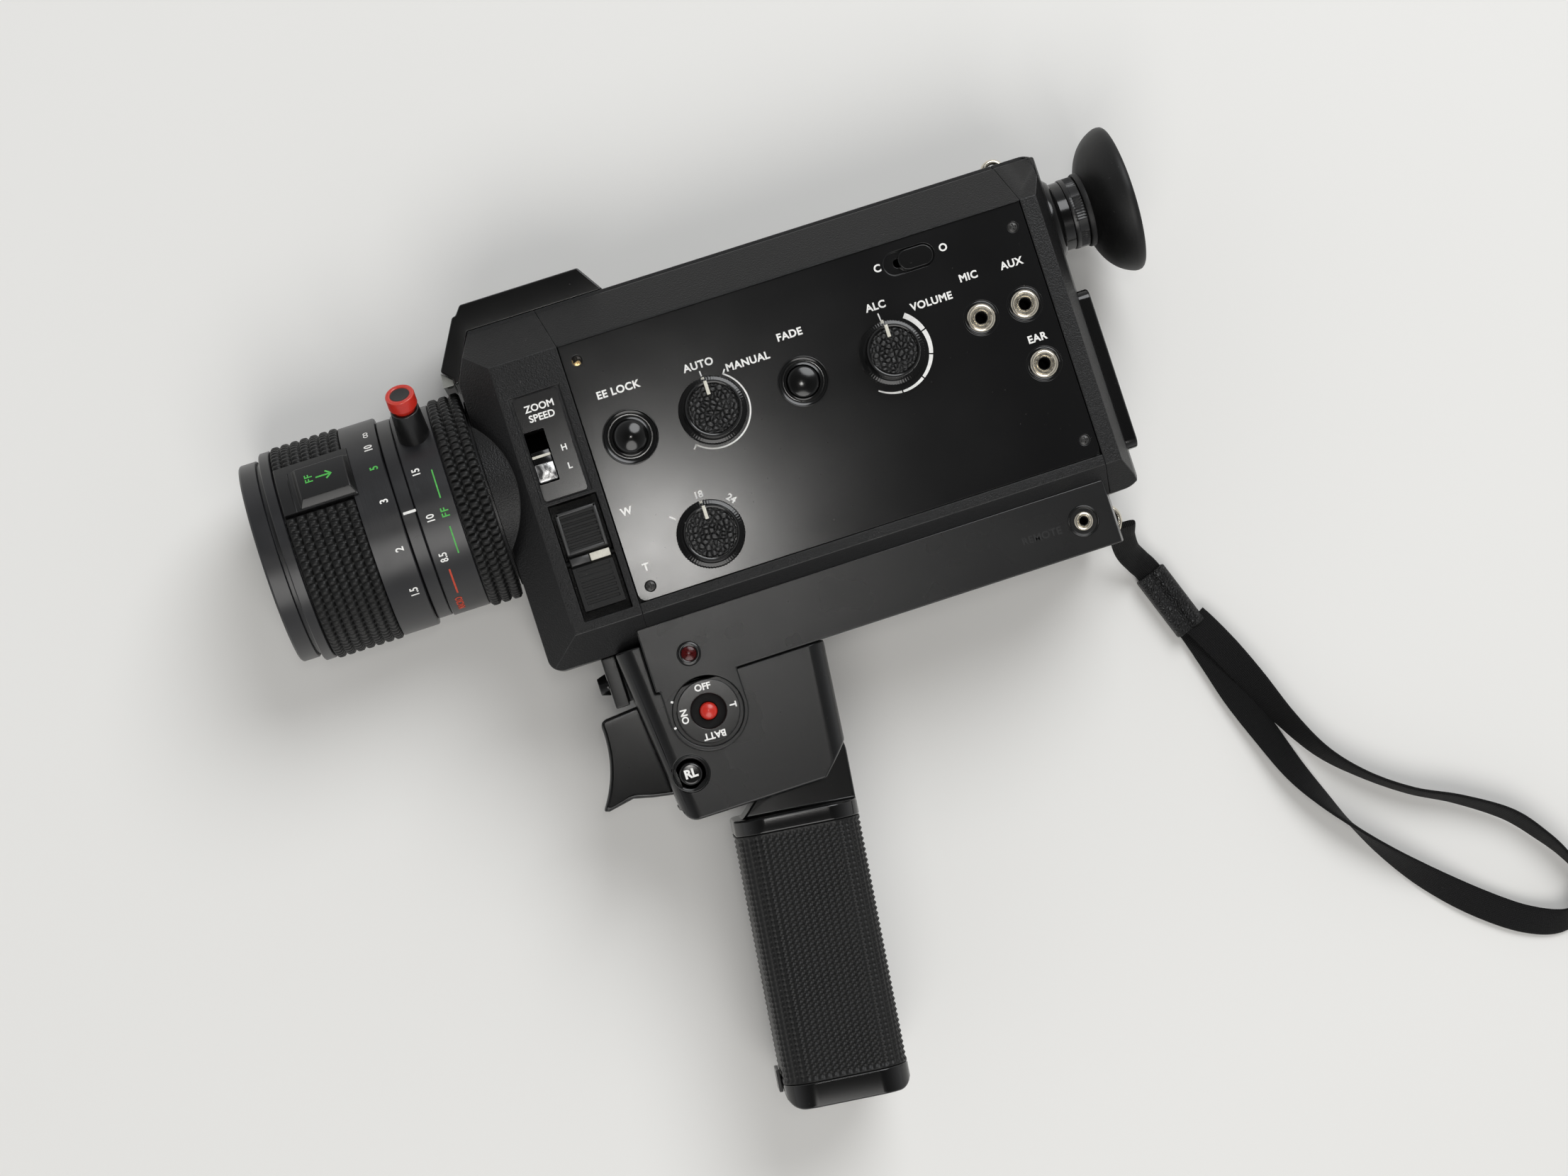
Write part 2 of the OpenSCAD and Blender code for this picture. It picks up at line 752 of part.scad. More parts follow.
module finder_shutter() {
    color(black) in_place() translate([shutter_slot_at[0] + 1.9, shutter_slot_at[1], 0]) {
        translate([0, 0, plate_face - 0.8]) linear_extrude(1.6) round_rect(10.2, 5.9, 2.94);
        translate([0, 0, 54]) linear_extrude(7) round_rect(3, 2, 0.6);
    }
}

module mode_dial() {
    color(black) in_place() difference() {
        union() {
            rod_z(dial_at, handle_face + 0.3, 59.2, 9);
            rod_z(dial_at, 52, handle_face + 1, 3.6);
        }
        rod_z(dial_at, 57.8, 60, 5);
        rod_z(dial_at, 50, 60, 2.6);
    }
}

module dial_button() {
    color(red) in_place() rod_z(dial_at, 53, 60.2, 2.5);
}

module run_lock_button() {
    color(black) in_place() rod_z(run_lock_at, 51.5, 57.6, 3.3);
}

module trigger() {
    color(black) in_place() difference() {
        translate([0, 0, 25]) linear_extrude(14) difference() {
            polygon([[9.6, -72.4], [3, -80], [1, -97.4], [3.4, -98], [11, -96.6], [16.5, -98],
                [22, -99], [27.5, -98.6], [27.5, -72], [20, -71.6]]);
            translate([-27.2, -76.4]) circle(35.8, $fn = 120);
        }
        rod_z(trigger_pin_at, 20, 45, 1.55);
    }
}

module release_knob() {
    color(black) in_place() {
        translate([14.2, -63.1, axis_z]) rotate([0, -90, 0]) cylinder(h = 2.8, r1 = 3.3, r2 = 2.5);
        rod_x(14, 19, 1, -63.1);
    }
}

module dioptre_ring() {
    color(black) in_place() turned_x([[184.2, 8.05], [184.2, 10.5], [188.4, 10.5], [188.4, 9.4], [192.5, 9.4],
        [192.5, 8.05]], finder_y);
}

// point on a curve that leaves a towards b and arrives at c
function bend(a, b, c, t) = (1 - t) * (1 - t) * a + 2 * t * (1 - t) * b + t * t * c;

module eyecup() {
    rim = eyecup_x;
    steps = 8;
    color(rubber) in_place() turned_x(concat(
        [[188.6, 9.4], [188.6, 10.9]],
        [for (i = [0 : steps]) bend([190.2, 11], [192.5, 19.5], [rim - 2.2, eyecup_r - 0.1], i / steps)],
        [[rim - 1, eyecup_r], [rim - 0.2, eyecup_r - 0.3], [rim, eyecup_r - 0.9], [rim - 0.6, eyecup_r - 1.5]],
        [for (i = [0 : steps]) bend([rim - 2.4, eyecup_r - 1.8], [194, 18], [192.6, 11], i / steps)],
        [[192.6, 9.4]]), finder_y);
}

module film_door() {
    color(satin) in_place() {
        difference() {
            union() {
                intersection() {
                    body_block();
                    block([door_front, -60, -1], [door_rear, door_top, 3]);
                }
                block([62, -36, 2.9], [108, 4, 6]);
                for (y = [-40, 4]) block([door_rear - 1, y, 0.6], [door_hinge[0], y + 10, 3]);
                for (y = [-40, 4]) translate([door_hinge[0], y + 10, door_hinge[1]]) rotate([90, 0, 0])
                    cylinder(h = 10, r = 2);
            }
            block([44, -22, -1], [60, -12, 1.6]);
            block([door_front - 1, -19, 1.3], [60, -15, 2.3]);
            for (y = [-44, 0]) translate([door_hinge[0], y + 18, door_hinge[1]]) rotate([90, 0, 0])
                cylinder(h = 18, r = 0.85);
        }
    }
}

module door_latch() {
    color(black) in_place() {
        block([44.3, -21.7, 0.4], [55, -12.3, 1.4]);
        block([door_front + 0.1, -18.8, 1.35], [50, -15.2, 2.2]);
    }
}

// cross-section of the grip, shrunk by inset
module grip_section(inset) {
    round_rect(grip_w - 2 * inset, grip_t - 2 * inset, 9 - inset);
}

// solid of the grip's section between two heights on its own axis
module grip_bar(v0, v1, inset) {
    along_grip() translate([0, v1, axis_z]) rotate([90, 0, 0]) linear_extrude(v1 - v0) grip_section(inset);
}

module grip_core() {
    color(black) in_place() difference() {
        union() {
            grip_bar(0, cap_h, 0);
            grip_bar(-sleeve_l, 0.1, 1.8);
            along_grip() translate([0, 0, 21]) linear_extrude(22) {
                translate(neck_at) circle(neck_r);
                polygon([[neck_at[0] + neck_r, neck_at[1]], [neck_at[0] + neck_r, cap_h - 1],
                    [-16, cap_h - 1], [-13, cap_h + 2], [neck_at[0] - 6.2, neck_at[1] + 5.9]]);
            }
        }
        along_grip() block([-15, -sleeve_l - 1, 17], [15, -18, 47]);
        rod_z(grip_pin_at, 10, 60, 2.05);
    }
}

module grip_sleeve() {
    color(rubber) in_place() difference() {
        grip_bar(-sleeve_l, 0, 0);
        grip_bar(-sleeve_l - 1, 1, 1.8);
    }
}

module batteries() {
    color(silver) in_place() along_grip() for (u = [-7.4, 7.4], z = [-7.4, 7.4])
        translate([u, -19, axis_z + z]) rotate([90, 0, 0]) cylinder(h = 50.5, r = 7.2);
}

module battery_cover() {
    bottom = -sleeve_l - cover_h;
    color(black) in_place() difference() {
        intersection() {
            grip_bar(bottom, -sleeve_l - 0.1, 0);
            along_grip() linear_extrude(70) difference() {
                translate([-grip_w / 2, bottom]) square([grip_w, cover_h + 1]);
                corner_cut([grip_w / 2, bottom], 4, 3);
                corner_cut([-grip_w / 2, bottom], 5, 2);
            }
        }
        along_grip() block([-14, bottom + 2.5, 16], [14, -sleeve_l + 1, 48]);
    }
}

module battery_latch() {
    color(black) in_place() along_grip()
        block([-grip_w / 2 - 1.2, -sleeve_l - 3, 26], [-grip_w / 2 - 0.15, -sleeve_l + 3.4, 38]);
}

// spur gear with straight-sided teeth, narrow enough to run with backlash
module gear(teeth, thickness) {
    pitch_r = teeth * gear_module / 2;
    linear_extrude(thickness) union() {
        circle(pitch_r - 1.1 * gear_module);
        for (i = [0 : teeth - 1]) rotate(360 / teeth * i) polygon([
            [pitch_r - 1.3 * gear_module, -0.8 * gear_module], [pitch_r, -0.5 * gear_module],
            [pitch_r + 0.75 * gear_module, -0.25 * gear_module],
            [pitch_r + 0.75 * gear_module, 0.25 * gear_module], [pitch_r, 0.5 * gear_module],
            [pitch_r - 1.3 * gear_module, 0.8 * gear_module]]);
    }
}

module shutter_disc() {
    color(silver) in_place() {
        difference() {
            rod_x(37.5, 38.1, 19.5, shutter_y);
            translate([0, shutter_y, axis_z]) rotate([90, 0, 90]) linear_extrude(60)
                polygon([[0, 8], [-30, 24], [-30, 60], [60, 60], [60, 24], [0, 8]]);
        }
        translate([33.2, shutter_y, axis_z]) rotate([0, 90, 0]) gear(shutter_teeth, 2.6);
        rod_x(32, 42.5, 1.5, shutter_y);
    }
}

module drive_pinion() {
    color(brass) in_place() {
        translate([33, motor_y, axis_z]) rotate([0, 90, 0]) rotate(180 / pinion_teeth) gear(pinion_teeth, 3);
        rod_x(21, 36.5, 1, motor_y);
    }
}

main_casing();
front_housing();
control_plate();
finder_hump();
clear_windows();
rear_cover();
counter_panel();
base_rail();
handle_housing();
handle_cover();
case_screws();
jack_sockets();
status_lamp();
lens_barrel();
rear_lens_group();
film_gate();
motors();
circuit_board();
finder_tube();
eyepiece_collar();
eyepiece_lens();
tripod_bush();
strap_lugs();
strap_keeper();
wrist_strap();
hinge_pins();
front_ring();
focus_ring();
focus_rubber();
front_lens();
ff_key();
zoom_ring();
zoom_rubber();
zoom_lever();
macro_button();
variator_cell();
zoom_rocker();
zoom_speed_slider();
exposure_lock_button();
exposure_knob();
fade_button();
volume_knob();
frame_rate_knob();
finder_shutter();
mode_dial();
dial_button();
run_lock_button();
trigger();
release_knob();
dioptre_ring();
eyecup();
film_door();
door_latch();
grip_core();
grip_sleeve();
batteries();
battery_cover();
battery_latch();
shutter_disc();
drive_pinion();
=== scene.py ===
"""Sound cine camera on its right side, its grip folded out and its wrist strap laid beside it."""

import math

import bmesh
import bpy
import numpy as np
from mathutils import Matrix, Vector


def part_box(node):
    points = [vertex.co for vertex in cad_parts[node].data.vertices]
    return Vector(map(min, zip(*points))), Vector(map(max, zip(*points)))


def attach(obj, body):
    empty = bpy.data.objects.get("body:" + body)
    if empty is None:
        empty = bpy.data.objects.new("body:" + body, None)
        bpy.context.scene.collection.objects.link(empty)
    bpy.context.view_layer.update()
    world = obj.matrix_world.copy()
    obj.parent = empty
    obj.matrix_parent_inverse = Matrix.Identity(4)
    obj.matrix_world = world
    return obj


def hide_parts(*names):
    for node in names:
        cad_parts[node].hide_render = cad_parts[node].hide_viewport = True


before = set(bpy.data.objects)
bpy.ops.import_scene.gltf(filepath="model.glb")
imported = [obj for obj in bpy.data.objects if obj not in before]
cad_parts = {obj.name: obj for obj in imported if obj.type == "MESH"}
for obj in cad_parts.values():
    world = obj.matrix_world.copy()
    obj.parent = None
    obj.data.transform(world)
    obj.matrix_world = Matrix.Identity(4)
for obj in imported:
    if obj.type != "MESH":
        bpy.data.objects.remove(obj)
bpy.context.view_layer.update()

# ---------------------------------------------------------------------------------------------
# The view. The eye stands almost straight over the front of the body, about a metre up.
view = bpy.data.objects.new("view", bpy.data.cameras.new("view"))
bpy.context.scene.collection.objects.link(view)
view.data.sensor_width = 36.0
view.data.lens = 73.364
view.data.clip_start = 0.01
view.location = (-0.0534116, 0.0106086, 0.9610668)
view.rotation_euler = (0.0293, -0.0559, -0.3143)
bpy.context.scene.camera = view

# ---------------------------------------------------------------------------------------------
# Wrist strap. One length of black woven webbing, doubled where it leaves the rear lug, goes under
# a leather keeper, round in a loop as wide as a hand, and back under the keeper.
barrel_low, barrel_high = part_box("lens_barrel")
lens_origin = np.array([barrel_low[0] + 0.05, (barrel_low[1] + barrel_high[1]) / 2, 0.0])


def row(points):
    """Points in millimetres from the lens axis and the body's front face, as metres in the frame."""
    return np.asarray(points, float) / 1000 + lens_origin


class Signal:
    """A socket that sums: each sum or product of signals and numbers adds its Math node."""

    def __init__(self, finish, socket):
        self.finish, self.socket = finish, socket

    def maths(self, operation, *values):
        return self.finish.add("Math", {"operation": operation}, dict(enumerate(values)))

    def __add__(self, other):
        return self.maths("ADD", self, other)

    def __sub__(self, other):
        return self.maths("SUBTRACT", self, other)

    def __rsub__(self, other):
        return self.maths("SUBTRACT", other, self)

    def __mul__(self, other):
        return self.maths("MULTIPLY", self, other)

    __radd__, __rmul__ = __add__, __mul__

    def sine(self):
        return self.maths("SINE", self)

    def size(self):
        return self.maths("ABSOLUTE", self)

    def ramp(self, low, high):
        """0 below low, 1 above high, and even between them."""
        return self.finish.add("MapRange", {}, {"Value": self, 1: low, 2: high})


class Finish:
    """A finish being mixed. Its shader is the Principled BSDF; constants are set on its sockets."""

    def __init__(self, name, **constants):
        self.material = bpy.data.materials.new(name)
        self.material.use_nodes = True
        self.tree = self.material.node_tree
        self.shader = self.tree.nodes["Principled BSDF"]
        for socket, value in constants.items():
            self.shader.inputs[socket.replace("_", " ")].default_value = value

    def add(self, kind, settings=None, inputs=None, output=0):
        """Adds one node: its settings first, then the values or links of its sockets."""
        node = self.tree.nodes.new("ShaderNode" + kind)
        for key, value in (settings or {}).items():
            setattr(node, key, value)
        for key, value in (inputs or {}).items():
            if isinstance(value, Signal):
                self.tree.links.new(value.socket, node.inputs[key])
            else:
                node.inputs[key].default_value = value
        return Signal(self, node.outputs[output])

    def place(self):
        """Place on the object, in metres."""
        return self.add("TexCoord", output="Object")

    def noise(self, size, detail=2.0, where=None, distortion=0.0):
        """Noise whose features are `size` metres across."""
        return self.add("TexNoise", {}, {"Vector": where or self.place(), "Scale": 1 / size,
                                         "Detail": detail, "Distortion": distortion})

    def stir(self, share, first, second):
        """Colour between first and second, by the share of the second."""
        return self.add("Mix", {"data_type": "RGBA"}, {0: share, 6: first, 7: second}, 2)

    def relief(self, height, depth, strength=1.0):
        """Bump as high as height times depth metres."""
        return self.add("Bump", {}, {"Height": height, "Distance": depth, "Strength": strength})

    def feed(self, **links):
        """Leads signals to the shader's sockets."""
        for socket, value in links.items():
            self.tree.links.new(value.socket, self.shader.inputs[socket.replace("_", " ")])


def grid_faces(rows, columns, ring):
    """Four-sided faces of a grid whose columns run round and join; ring joins the rows too."""
    r = np.arange(rows if ring else rows - 1)[:, None]
    c = np.arange(columns)[None, :]
    near, far = r * columns, (r + 1) % rows * columns
    after = (c + 1) % columns
    return np.stack([near + c, near + after, far + after, far + c], -1).reshape(-1, 4)


def fit(piece, body, finish, nodes=()):
    """Gives a finished piece its material and body, and hides the CAD nodes that it stands for."""
    if piece.name not in bpy.context.scene.collection.objects:
        bpy.context.scene.collection.objects.link(piece)
    piece.data.materials.clear()
    piece.data.materials.append(finish.material)
    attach(piece, body)
    if nodes:
        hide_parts(*nodes)
    return piece


def shell(name, points, ring=False, sharp=35.0, fields=None):
    """Object of a grid of points in millimetres. Its columns join up, and so do its rows if it is a
    ring; otherwise its ends are capped, or merged to a pole. Faces point outwards."""
    mesh = bpy.data.meshes.new(name)
    mesh.from_pydata(row(points.reshape(-1, 3)).tolist(), [],
                     grid_faces(*points.shape[:2], ring).tolist())
    for field, values in (fields or {}).items():
        layer = mesh.attributes.new(field, "FLOAT", "POINT")
        layer.data.foreach_set("value", np.ravel(values).astype(np.float32))
    work = bmesh.new()
    work.from_mesh(mesh)
    bmesh.ops.remove_doubles(work, verts=work.verts, dist=1e-7)
    edges = [e for e in work.edges if e.is_boundary]
    if edges:
        bmesh.ops.holes_fill(work, edges=edges, sides=0)
    bmesh.ops.recalc_face_normals(work, faces=work.faces)
    work.to_mesh(mesh)
    work.free()
    mesh.shade_smooth()
    mesh.set_sharp_from_angle(angle=math.radians(sharp))
    return bpy.data.objects.new(name, mesh)


tether_route = [[172.9, -65.2, 25, 0], [172.9, -68.5, 19, 0], [174.2, -73, 12, 0],
                [177, -77, 6.5, 0],
                [180, -82, 4, 0]]
strap_route = [[186.5, -99, 2.2, 0], [188.5, -105, 2.2, 0], [191, -114, 2, 5], [194, -125, 2, 8],
               [198.5, -138, 2.4, 18], [203.5, -152, 3.4, 35], [209.5, -164, 4.4, 60],
               [216, -175, 5, 90],
               [223.5, -185.5, 4.6, 115], [233, -196.5, 3.6, 140], [244.5, -207.5, 2.8, 160],
               [256.5, -216.5, 2.8, 160], [267, -220.5, 3.4, 145], [274.5, -217.5, 4.6, 120],
               [277, -210, 5, 95], [274, -202, 5, 85], [269, -194, 5, 75], [261, -184.5, 5, 70],
               [248, -175.5, 5, 75], [235, -168.5, 5, 80], [223, -159.5, 5, 80],
               [213, -149, 4.8, 70],
               [205.5, -136, 4.6, 55], [199.5, -122, 4.6, 35], [194.5, -111, 4.8, 15],
               [190.5, -103, 4.8, 5], [188, -98.5, 4.6, 0]]


def smooth_route(route, steps):
    """Catmull-Rom curve: between two points runs the cubic whose ends lean along their neighbours."""
    p = np.asarray(route, float)
    p = np.vstack([p[:1], p, p[-1:]])
    t = (np.arange(steps) / steps)[None, :, None]
    a, b, c, d = (p[i:len(p) - 3 + i, None, :] for i in range(4))
    curve = 0.5 * (2 * b + (c - a) * t + (2 * a - 5 * b + 4 * c - d) * t ** 2
                   + (3 * b - a - 3 * c + d) * t ** 3)
    return np.vstack([curve.reshape(-1, p.shape[1]), p[-1:]])


def unit(v):
    return v / np.linalg.norm(v, axis=-1, keepdims=True)


def webbing(route, width, thickness, count=26):
    """Flat webbing along a route of x, y, z and roll: a squared-off oval, width by thickness,
    whose wide side is turned by roll about the route. Also the run and the place across."""
    middle, roll = route[:, :3], np.radians(route[:, 3:4])
    along = unit(np.gradient(middle, axis=0))
    side = unit(np.cross(along, [0, 0, 1]))
    up = np.cross(side, along)
    wide = np.cos(roll) * side + np.sin(roll) * up
    thin = np.cross(wide, along)
    turn = np.linspace(0, 2 * np.pi, count, endpoint=False)
    across = np.sign(np.cos(turn)) * np.abs(np.cos(turn)) ** 0.55
    through = np.sign(np.sin(turn)) * np.abs(np.sin(turn)) ** 0.6
    half = np.broadcast_to(width / 2, (len(route), 1))
    deep = np.broadcast_to(thickness / 2, (len(route), 1))
    points = (middle[:, None, :] + (half * across)[..., None] * wide[:, None, :]
              + (deep * through)[..., None] * thin[:, None, :])
    run = np.concatenate([[0], np.cumsum(np.linalg.norm(np.diff(middle, axis=0), axis=1))])
    return points, np.broadcast_to(run[:, None], points.shape[:2]), half * across


strap_line = smooth_route(tether_route + strap_route, 14)
doubled = np.arange(len(strap_line))[:, None] < 14 * 4.6
strap_points, strap_run, strap_across = webbing(
    strap_line, np.where(doubled, 8.0, 9.0), np.where(doubled, 2.2, 1.3))
strap = shell("strap_webbing", strap_points, False, 60.0,
              {"along": strap_run, "across": strap_across})

webbing_finish = Finish("black woven webbing", Specular_IOR_Level=0.22, Sheen_Weight=0.02,
                        Sheen_Roughness=0.5)
along = webbing_finish.add("Attribute", {"attribute_name": "along"}, output="Fac")
across = webbing_finish.add("Attribute", {"attribute_name": "across"}, output="Fac")
warp = (across * (math.pi / 0.55)).sine()
weft = (along * (math.pi / 0.62) + warp.size() * 1.3).sine()
thread = warp.size() * 0.6 + weft.size() * 0.4
lint = webbing_finish.noise(0.0007, 3.0).ramp(0.66, 0.8)
tone = webbing_finish.stir(thread, (0.0005, 0.0005, 0.0005, 1), (0.003, 0.003, 0.0032, 1))
webbing_finish.feed(
    Base_Color=webbing_finish.stir(lint * 0.18, tone, (0.1, 0.1, 0.096, 1)),
    Roughness=0.85 - thread * 0.25,
    Normal=webbing_finish.relief(thread + webbing_finish.noise(0.0003) * 0.4, 0.00022))
fit(strap, "camera", webbing_finish, ["wrist_strap"])


def softened(node, name, body, finish, width=0.4, angle=30.0, rounds=2, nodes=()):
    """The node's own shape with its facets joined and every edge sharper than `angle` degrees
    rounded over by `width` millimetres. The field wear is 1 along the rounding, 0 on the faces."""
    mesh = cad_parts[node].data.copy()
    mesh.name = name
    work = bmesh.new()
    work.from_mesh(mesh)
    bmesh.ops.remove_doubles(work, verts=work.verts, dist=2e-6)
    bmesh.ops.dissolve_limit(work, angle_limit=math.radians(0.8), verts=work.verts,
                             edges=work.edges)
    sharp = [e for e in work.edges
             if len(e.link_faces) == 2 and e.calc_face_angle(0) > math.radians(angle)]
    rounded = bmesh.ops.bevel(work, geom=sharp, offset=width / 1000, segments=rounds, profile=0.5,
                              affect="EDGES", clamp_overlap=False)
    worn = work.verts.layers.float.new("wear")
    fresh = set(rounded["faces"])
    for v in {v for f in fresh for v in f.verts}:
        v[worn] = float(all(f in fresh for f in v.link_faces))
    work.to_mesh(mesh)
    work.free()
    corners = np.empty(len(mesh.vertices) * 3, np.float32)
    mesh.vertices.foreach_get("co", corners)
    low, high = (np.array(end, np.float32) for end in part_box(node))
    mesh.vertices.foreach_set("co", np.clip(corners.reshape(-1, 3), low, high).ravel())
    mesh.shade_smooth()
    mesh.set_sharp_from_angle(angle=math.radians(40))
    piece = bpy.data.objects.new(name, mesh)
    piece.modifiers.new("even shading", "WEIGHTED_NORMAL").keep_sharp = True
    return fit(piece, body, finish, (node,) + tuple(nodes))


# Keeper: a strip of pebbled black leather folded round both layers of the webbing and stitched.
leather = Finish("pebbled black leather", Specular_IOR_Level=0.4)
pebbles = leather.add("TexVoronoi", {"feature": "DISTANCE_TO_EDGE"},
                      {"Vector": leather.place(), "Scale": 1100.0})
swell = pebbles.ramp(0.0, 0.35)
leather.feed(Base_Color=leather.stir(swell, (0.003, 0.003, 0.003, 1), (0.014, 0.014, 0.0145, 1)),
             Roughness=0.5 - swell * 0.15, Normal=leather.relief(swell, 0.0003))
keeper = softened("strap_keeper", "leather_keeper", "camera", leather, 0.5)

# ---------------------------------------------------------------------------------------------
# Table and light. A pale matt board in a room whose walls are bright and whose ceiling is dark,
# with a wide soft lamp beyond the camera's underside, another beyond its top, and one overhead.
board = bpy.data.meshes.new("table_top")
board.from_pydata([(-1.6, -1.4, 0), (1.6, -1.4, 0), (1.6, 1.4, 0), (-1.6, 1.4, 0)], [],
                  [(0, 1, 2, 3)])
table = bpy.data.objects.new("table_top", board)
bpy.context.scene.collection.objects.link(table)
paper = Finish("pale board", Specular_IOR_Level=0.25)
cloud = paper.noise(0.25, 3.0)
paper.feed(Base_Color=paper.stir(cloud, (0.815, 0.808, 0.785, 1), (0.85, 0.843, 0.822, 1)),
           Roughness=0.55 + paper.noise(0.002) * 0.2)
board.materials.append(paper.material)


def lamp(name, at, towards, size, power, tint):
    """Round soft lamp at a point, facing another."""
    light = bpy.data.objects.new(name, bpy.data.lights.new(name, "AREA"))
    light.data.shape = "DISK"
    light.data.size, light.data.energy, light.data.color = size, power, tint
    light.location = at
    aim = np.asarray(towards, float) - np.asarray(at, float)
    light.rotation_euler = (math.acos(-aim[2] / np.linalg.norm(aim)), 0.0,
                            math.atan2(aim[1], aim[0]) - math.pi / 2)
    bpy.context.scene.collection.objects.link(light)


lamp("overhead_lamp", (0.014, 0.084, 1.5), (0.0, 0.05, 0.0), 0.12, 0.95, (1.0, 0.985, 0.955))
lamp("side_lamp", (-0.2, -0.9, 1.5), (0.0, 0.0, 0.0), 1.2, 12.0, (1.0, 0.985, 0.96))
lamp("far_lamp", (0.75, 0.95, 1.5), (0.0, 0.0, 0.0), 1.2, 19.0, (0.97, 0.985, 1.0))
bpy.context.scene.view_settings.view_transform = "Standard"
sky = bpy.data.worlds.new("room")
bpy.context.scene.world = sky
sky.use_nodes = True
backdrop, wires = sky.node_tree.nodes["Background"], sky.node_tree.links
backdrop.inputs[0].default_value = (0.985, 0.99, 1.0, 1)
heading = sky.node_tree.nodes.new("ShaderNodeSeparateXYZ")
wires.new(sky.node_tree.nodes.new("ShaderNodeTexCoord").outputs["Generated"], heading.inputs[0])
walls = sky.node_tree.nodes.new("ShaderNodeMapRange")
walls.inputs[1].default_value, walls.inputs[2].default_value = 0.0, 1.0
walls.inputs[3].default_value, walls.inputs[4].default_value = 0.8, 0.02
wires.new(heading.outputs[2], walls.inputs[0])
wires.new(walls.outputs[0], backdrop.inputs[1])

# ---------------------------------------------------------------------------------------------
# Body. Three die castings, front, middle and rear, sprayed with a grainy satin black; the plate
# of controls is let into the left face, and its paint is finer.


def moulded(name, colour, worn, rough, grain, depth, mottle=0.1, dust=0.1, **constants):
    """Moulded or painted skin: a grain `grain` metres across and `depth` metres deep, a slow change
    of gloss, specks of dust, and edges rubbed towards the worn colour."""
    skin = Finish(name, **constants)
    place = skin.place()
    fine = skin.noise(grain, 3.0, place)
    slow = skin.noise(0.02, 3.0, place)
    speck = skin.noise(0.0012, 2.0, place).ramp(0.74, 0.8)
    wear = skin.add("Attribute", {"attribute_name": "wear"}, output="Fac")
    rubbed = (wear * (skin.noise(0.004, 3.0, place) + 0.35)).ramp(0.25, 1.0)
    tone = skin.stir(fine, (*(0.8 * c for c in colour), 1), (*(1.25 * c for c in colour), 1))
    tone = skin.stir(rubbed, tone, (*worn, 1))
    skin.feed(Base_Color=skin.stir(speck * dust, tone, (0.3, 0.29, 0.27, 1)),
              Roughness=slow * mottle + rough - mottle / 2 - rubbed * 0.08,
              Normal=skin.relief(fine, depth))
    return skin


casting_paint = moulded("grained black paint", (0.0045, 0.0045, 0.0047), (0.035, 0.035, 0.035),
                        0.36,
                        0.00045, 0.00014, Specular_IOR_Level=0.32)
plate_paint = moulded("fine satin black paint", (0.006, 0.006, 0.0062), (0.03, 0.03, 0.03), 0.15,
                      0.00022, 0.0000018, 0.06, Specular_IOR_Level=0.45)
satin_paint = moulded("satin black paint", (0.0055, 0.0055, 0.0057), (0.03, 0.03, 0.03), 0.27,
                      0.0003, 0.000006, 0.08, Specular_IOR_Level=0.45)
gloss_black = moulded("gloss black plastic", (0.004, 0.004, 0.004), (0.012, 0.012, 0.012), 0.15,
                      0.0006, 0.0000015, 0.06, Specular_IOR_Level=0.5)
satin_black = moulded("satin black plastic", (0.006, 0.006, 0.0062), (0.02, 0.02, 0.02), 0.3,
                      0.0003, 0.000003, Specular_IOR_Level=0.5)
softened("main_casing", "middle_casting", "camera", casting_paint, 0.3)
softened("front_housing", "front_casting", "camera", casting_paint, 0.3)
softened("rear_cover", "rear_casting", "camera", casting_paint, 0.3)
softened("control_plate", "control_plate_skin", "camera", plate_paint, 0.22)
softened("base_rail", "sub_base", "camera", satin_paint, 0.45)
softened("finder_hump", "finder_hood", "camera", gloss_black, 0.5)
softened("counter_panel", "counter_surround", "camera", gloss_black, 0.6)

# Windows: clear acrylic over the finder's front and over the film counter.
acrylic = Finish("smoked acrylic", Base_Color=(0.42, 0.43, 0.4, 1), Transmission_Weight=0.35,
                 IOR=1.49,
                 Coat_Weight=0.3, Coat_Roughness=0.03)
haze = acrylic.noise(0.003, 3.0)
acrylic.feed(Roughness=haze * 0.08 + 0.02, Normal=acrylic.relief(haze, 0.00001))
softened("clear_windows", "finder_and_counter_windows", "camera", acrylic, 0.3)

# ---------------------------------------------------------------------------------------------
# Handle housing and its right half: castings below the rail that carry the trigger and the dial.
softened("handle_housing", "handle_left_half", "camera", satin_paint, 0.7)
softened("handle_cover", "handle_right_half", "camera", satin_paint, 0.7)
softened("trigger", "trigger_lever", "trigger_body", gloss_black, 0.9, rounds=3)


def bead(name, path, radius, body, finish):
    """Round moulded bead along a path of points: circles of the radius square to the path."""
    path = smooth_route(np.column_stack([path, np.zeros(len(path))]), 8)[:, :3]
    along = unit(np.gradient(path, axis=0))
    side = unit(np.cross(along, [0, 0, 1.0]))
    up = np.cross(side, along)
    turn = np.linspace(0, 2 * np.pi, 12, endpoint=False)[None, :, None]
    points = path[:, None] + radius * (np.cos(turn) * side[:, None] + np.sin(turn) * up[:, None])
    return fit(shell(name, points, False, 60.0), body, finish)


rim_route = [(9.2, -73.4), (9.3, -76), (9.1, -80), (8.5, -84), (7.4, -88), (5.8, -92), (4.1, -95.2),
             (3.1, -96.7), (4.4, -97.0), (7.5, -96.4), (11, -95.8), (16.5, -97.2), (22, -98.2)]
bead("trigger_rim", [(x, y, 38.8) for x, y in rim_route], 0.4, "trigger_body",
     gloss_black)

# ---------------------------------------------------------------------------------------------
# Lens. Turned aluminium rings, anodised black, run on a fixed barrel; each has a moulded rubber
# grip let into its groove. The front ring carries the filter thread.


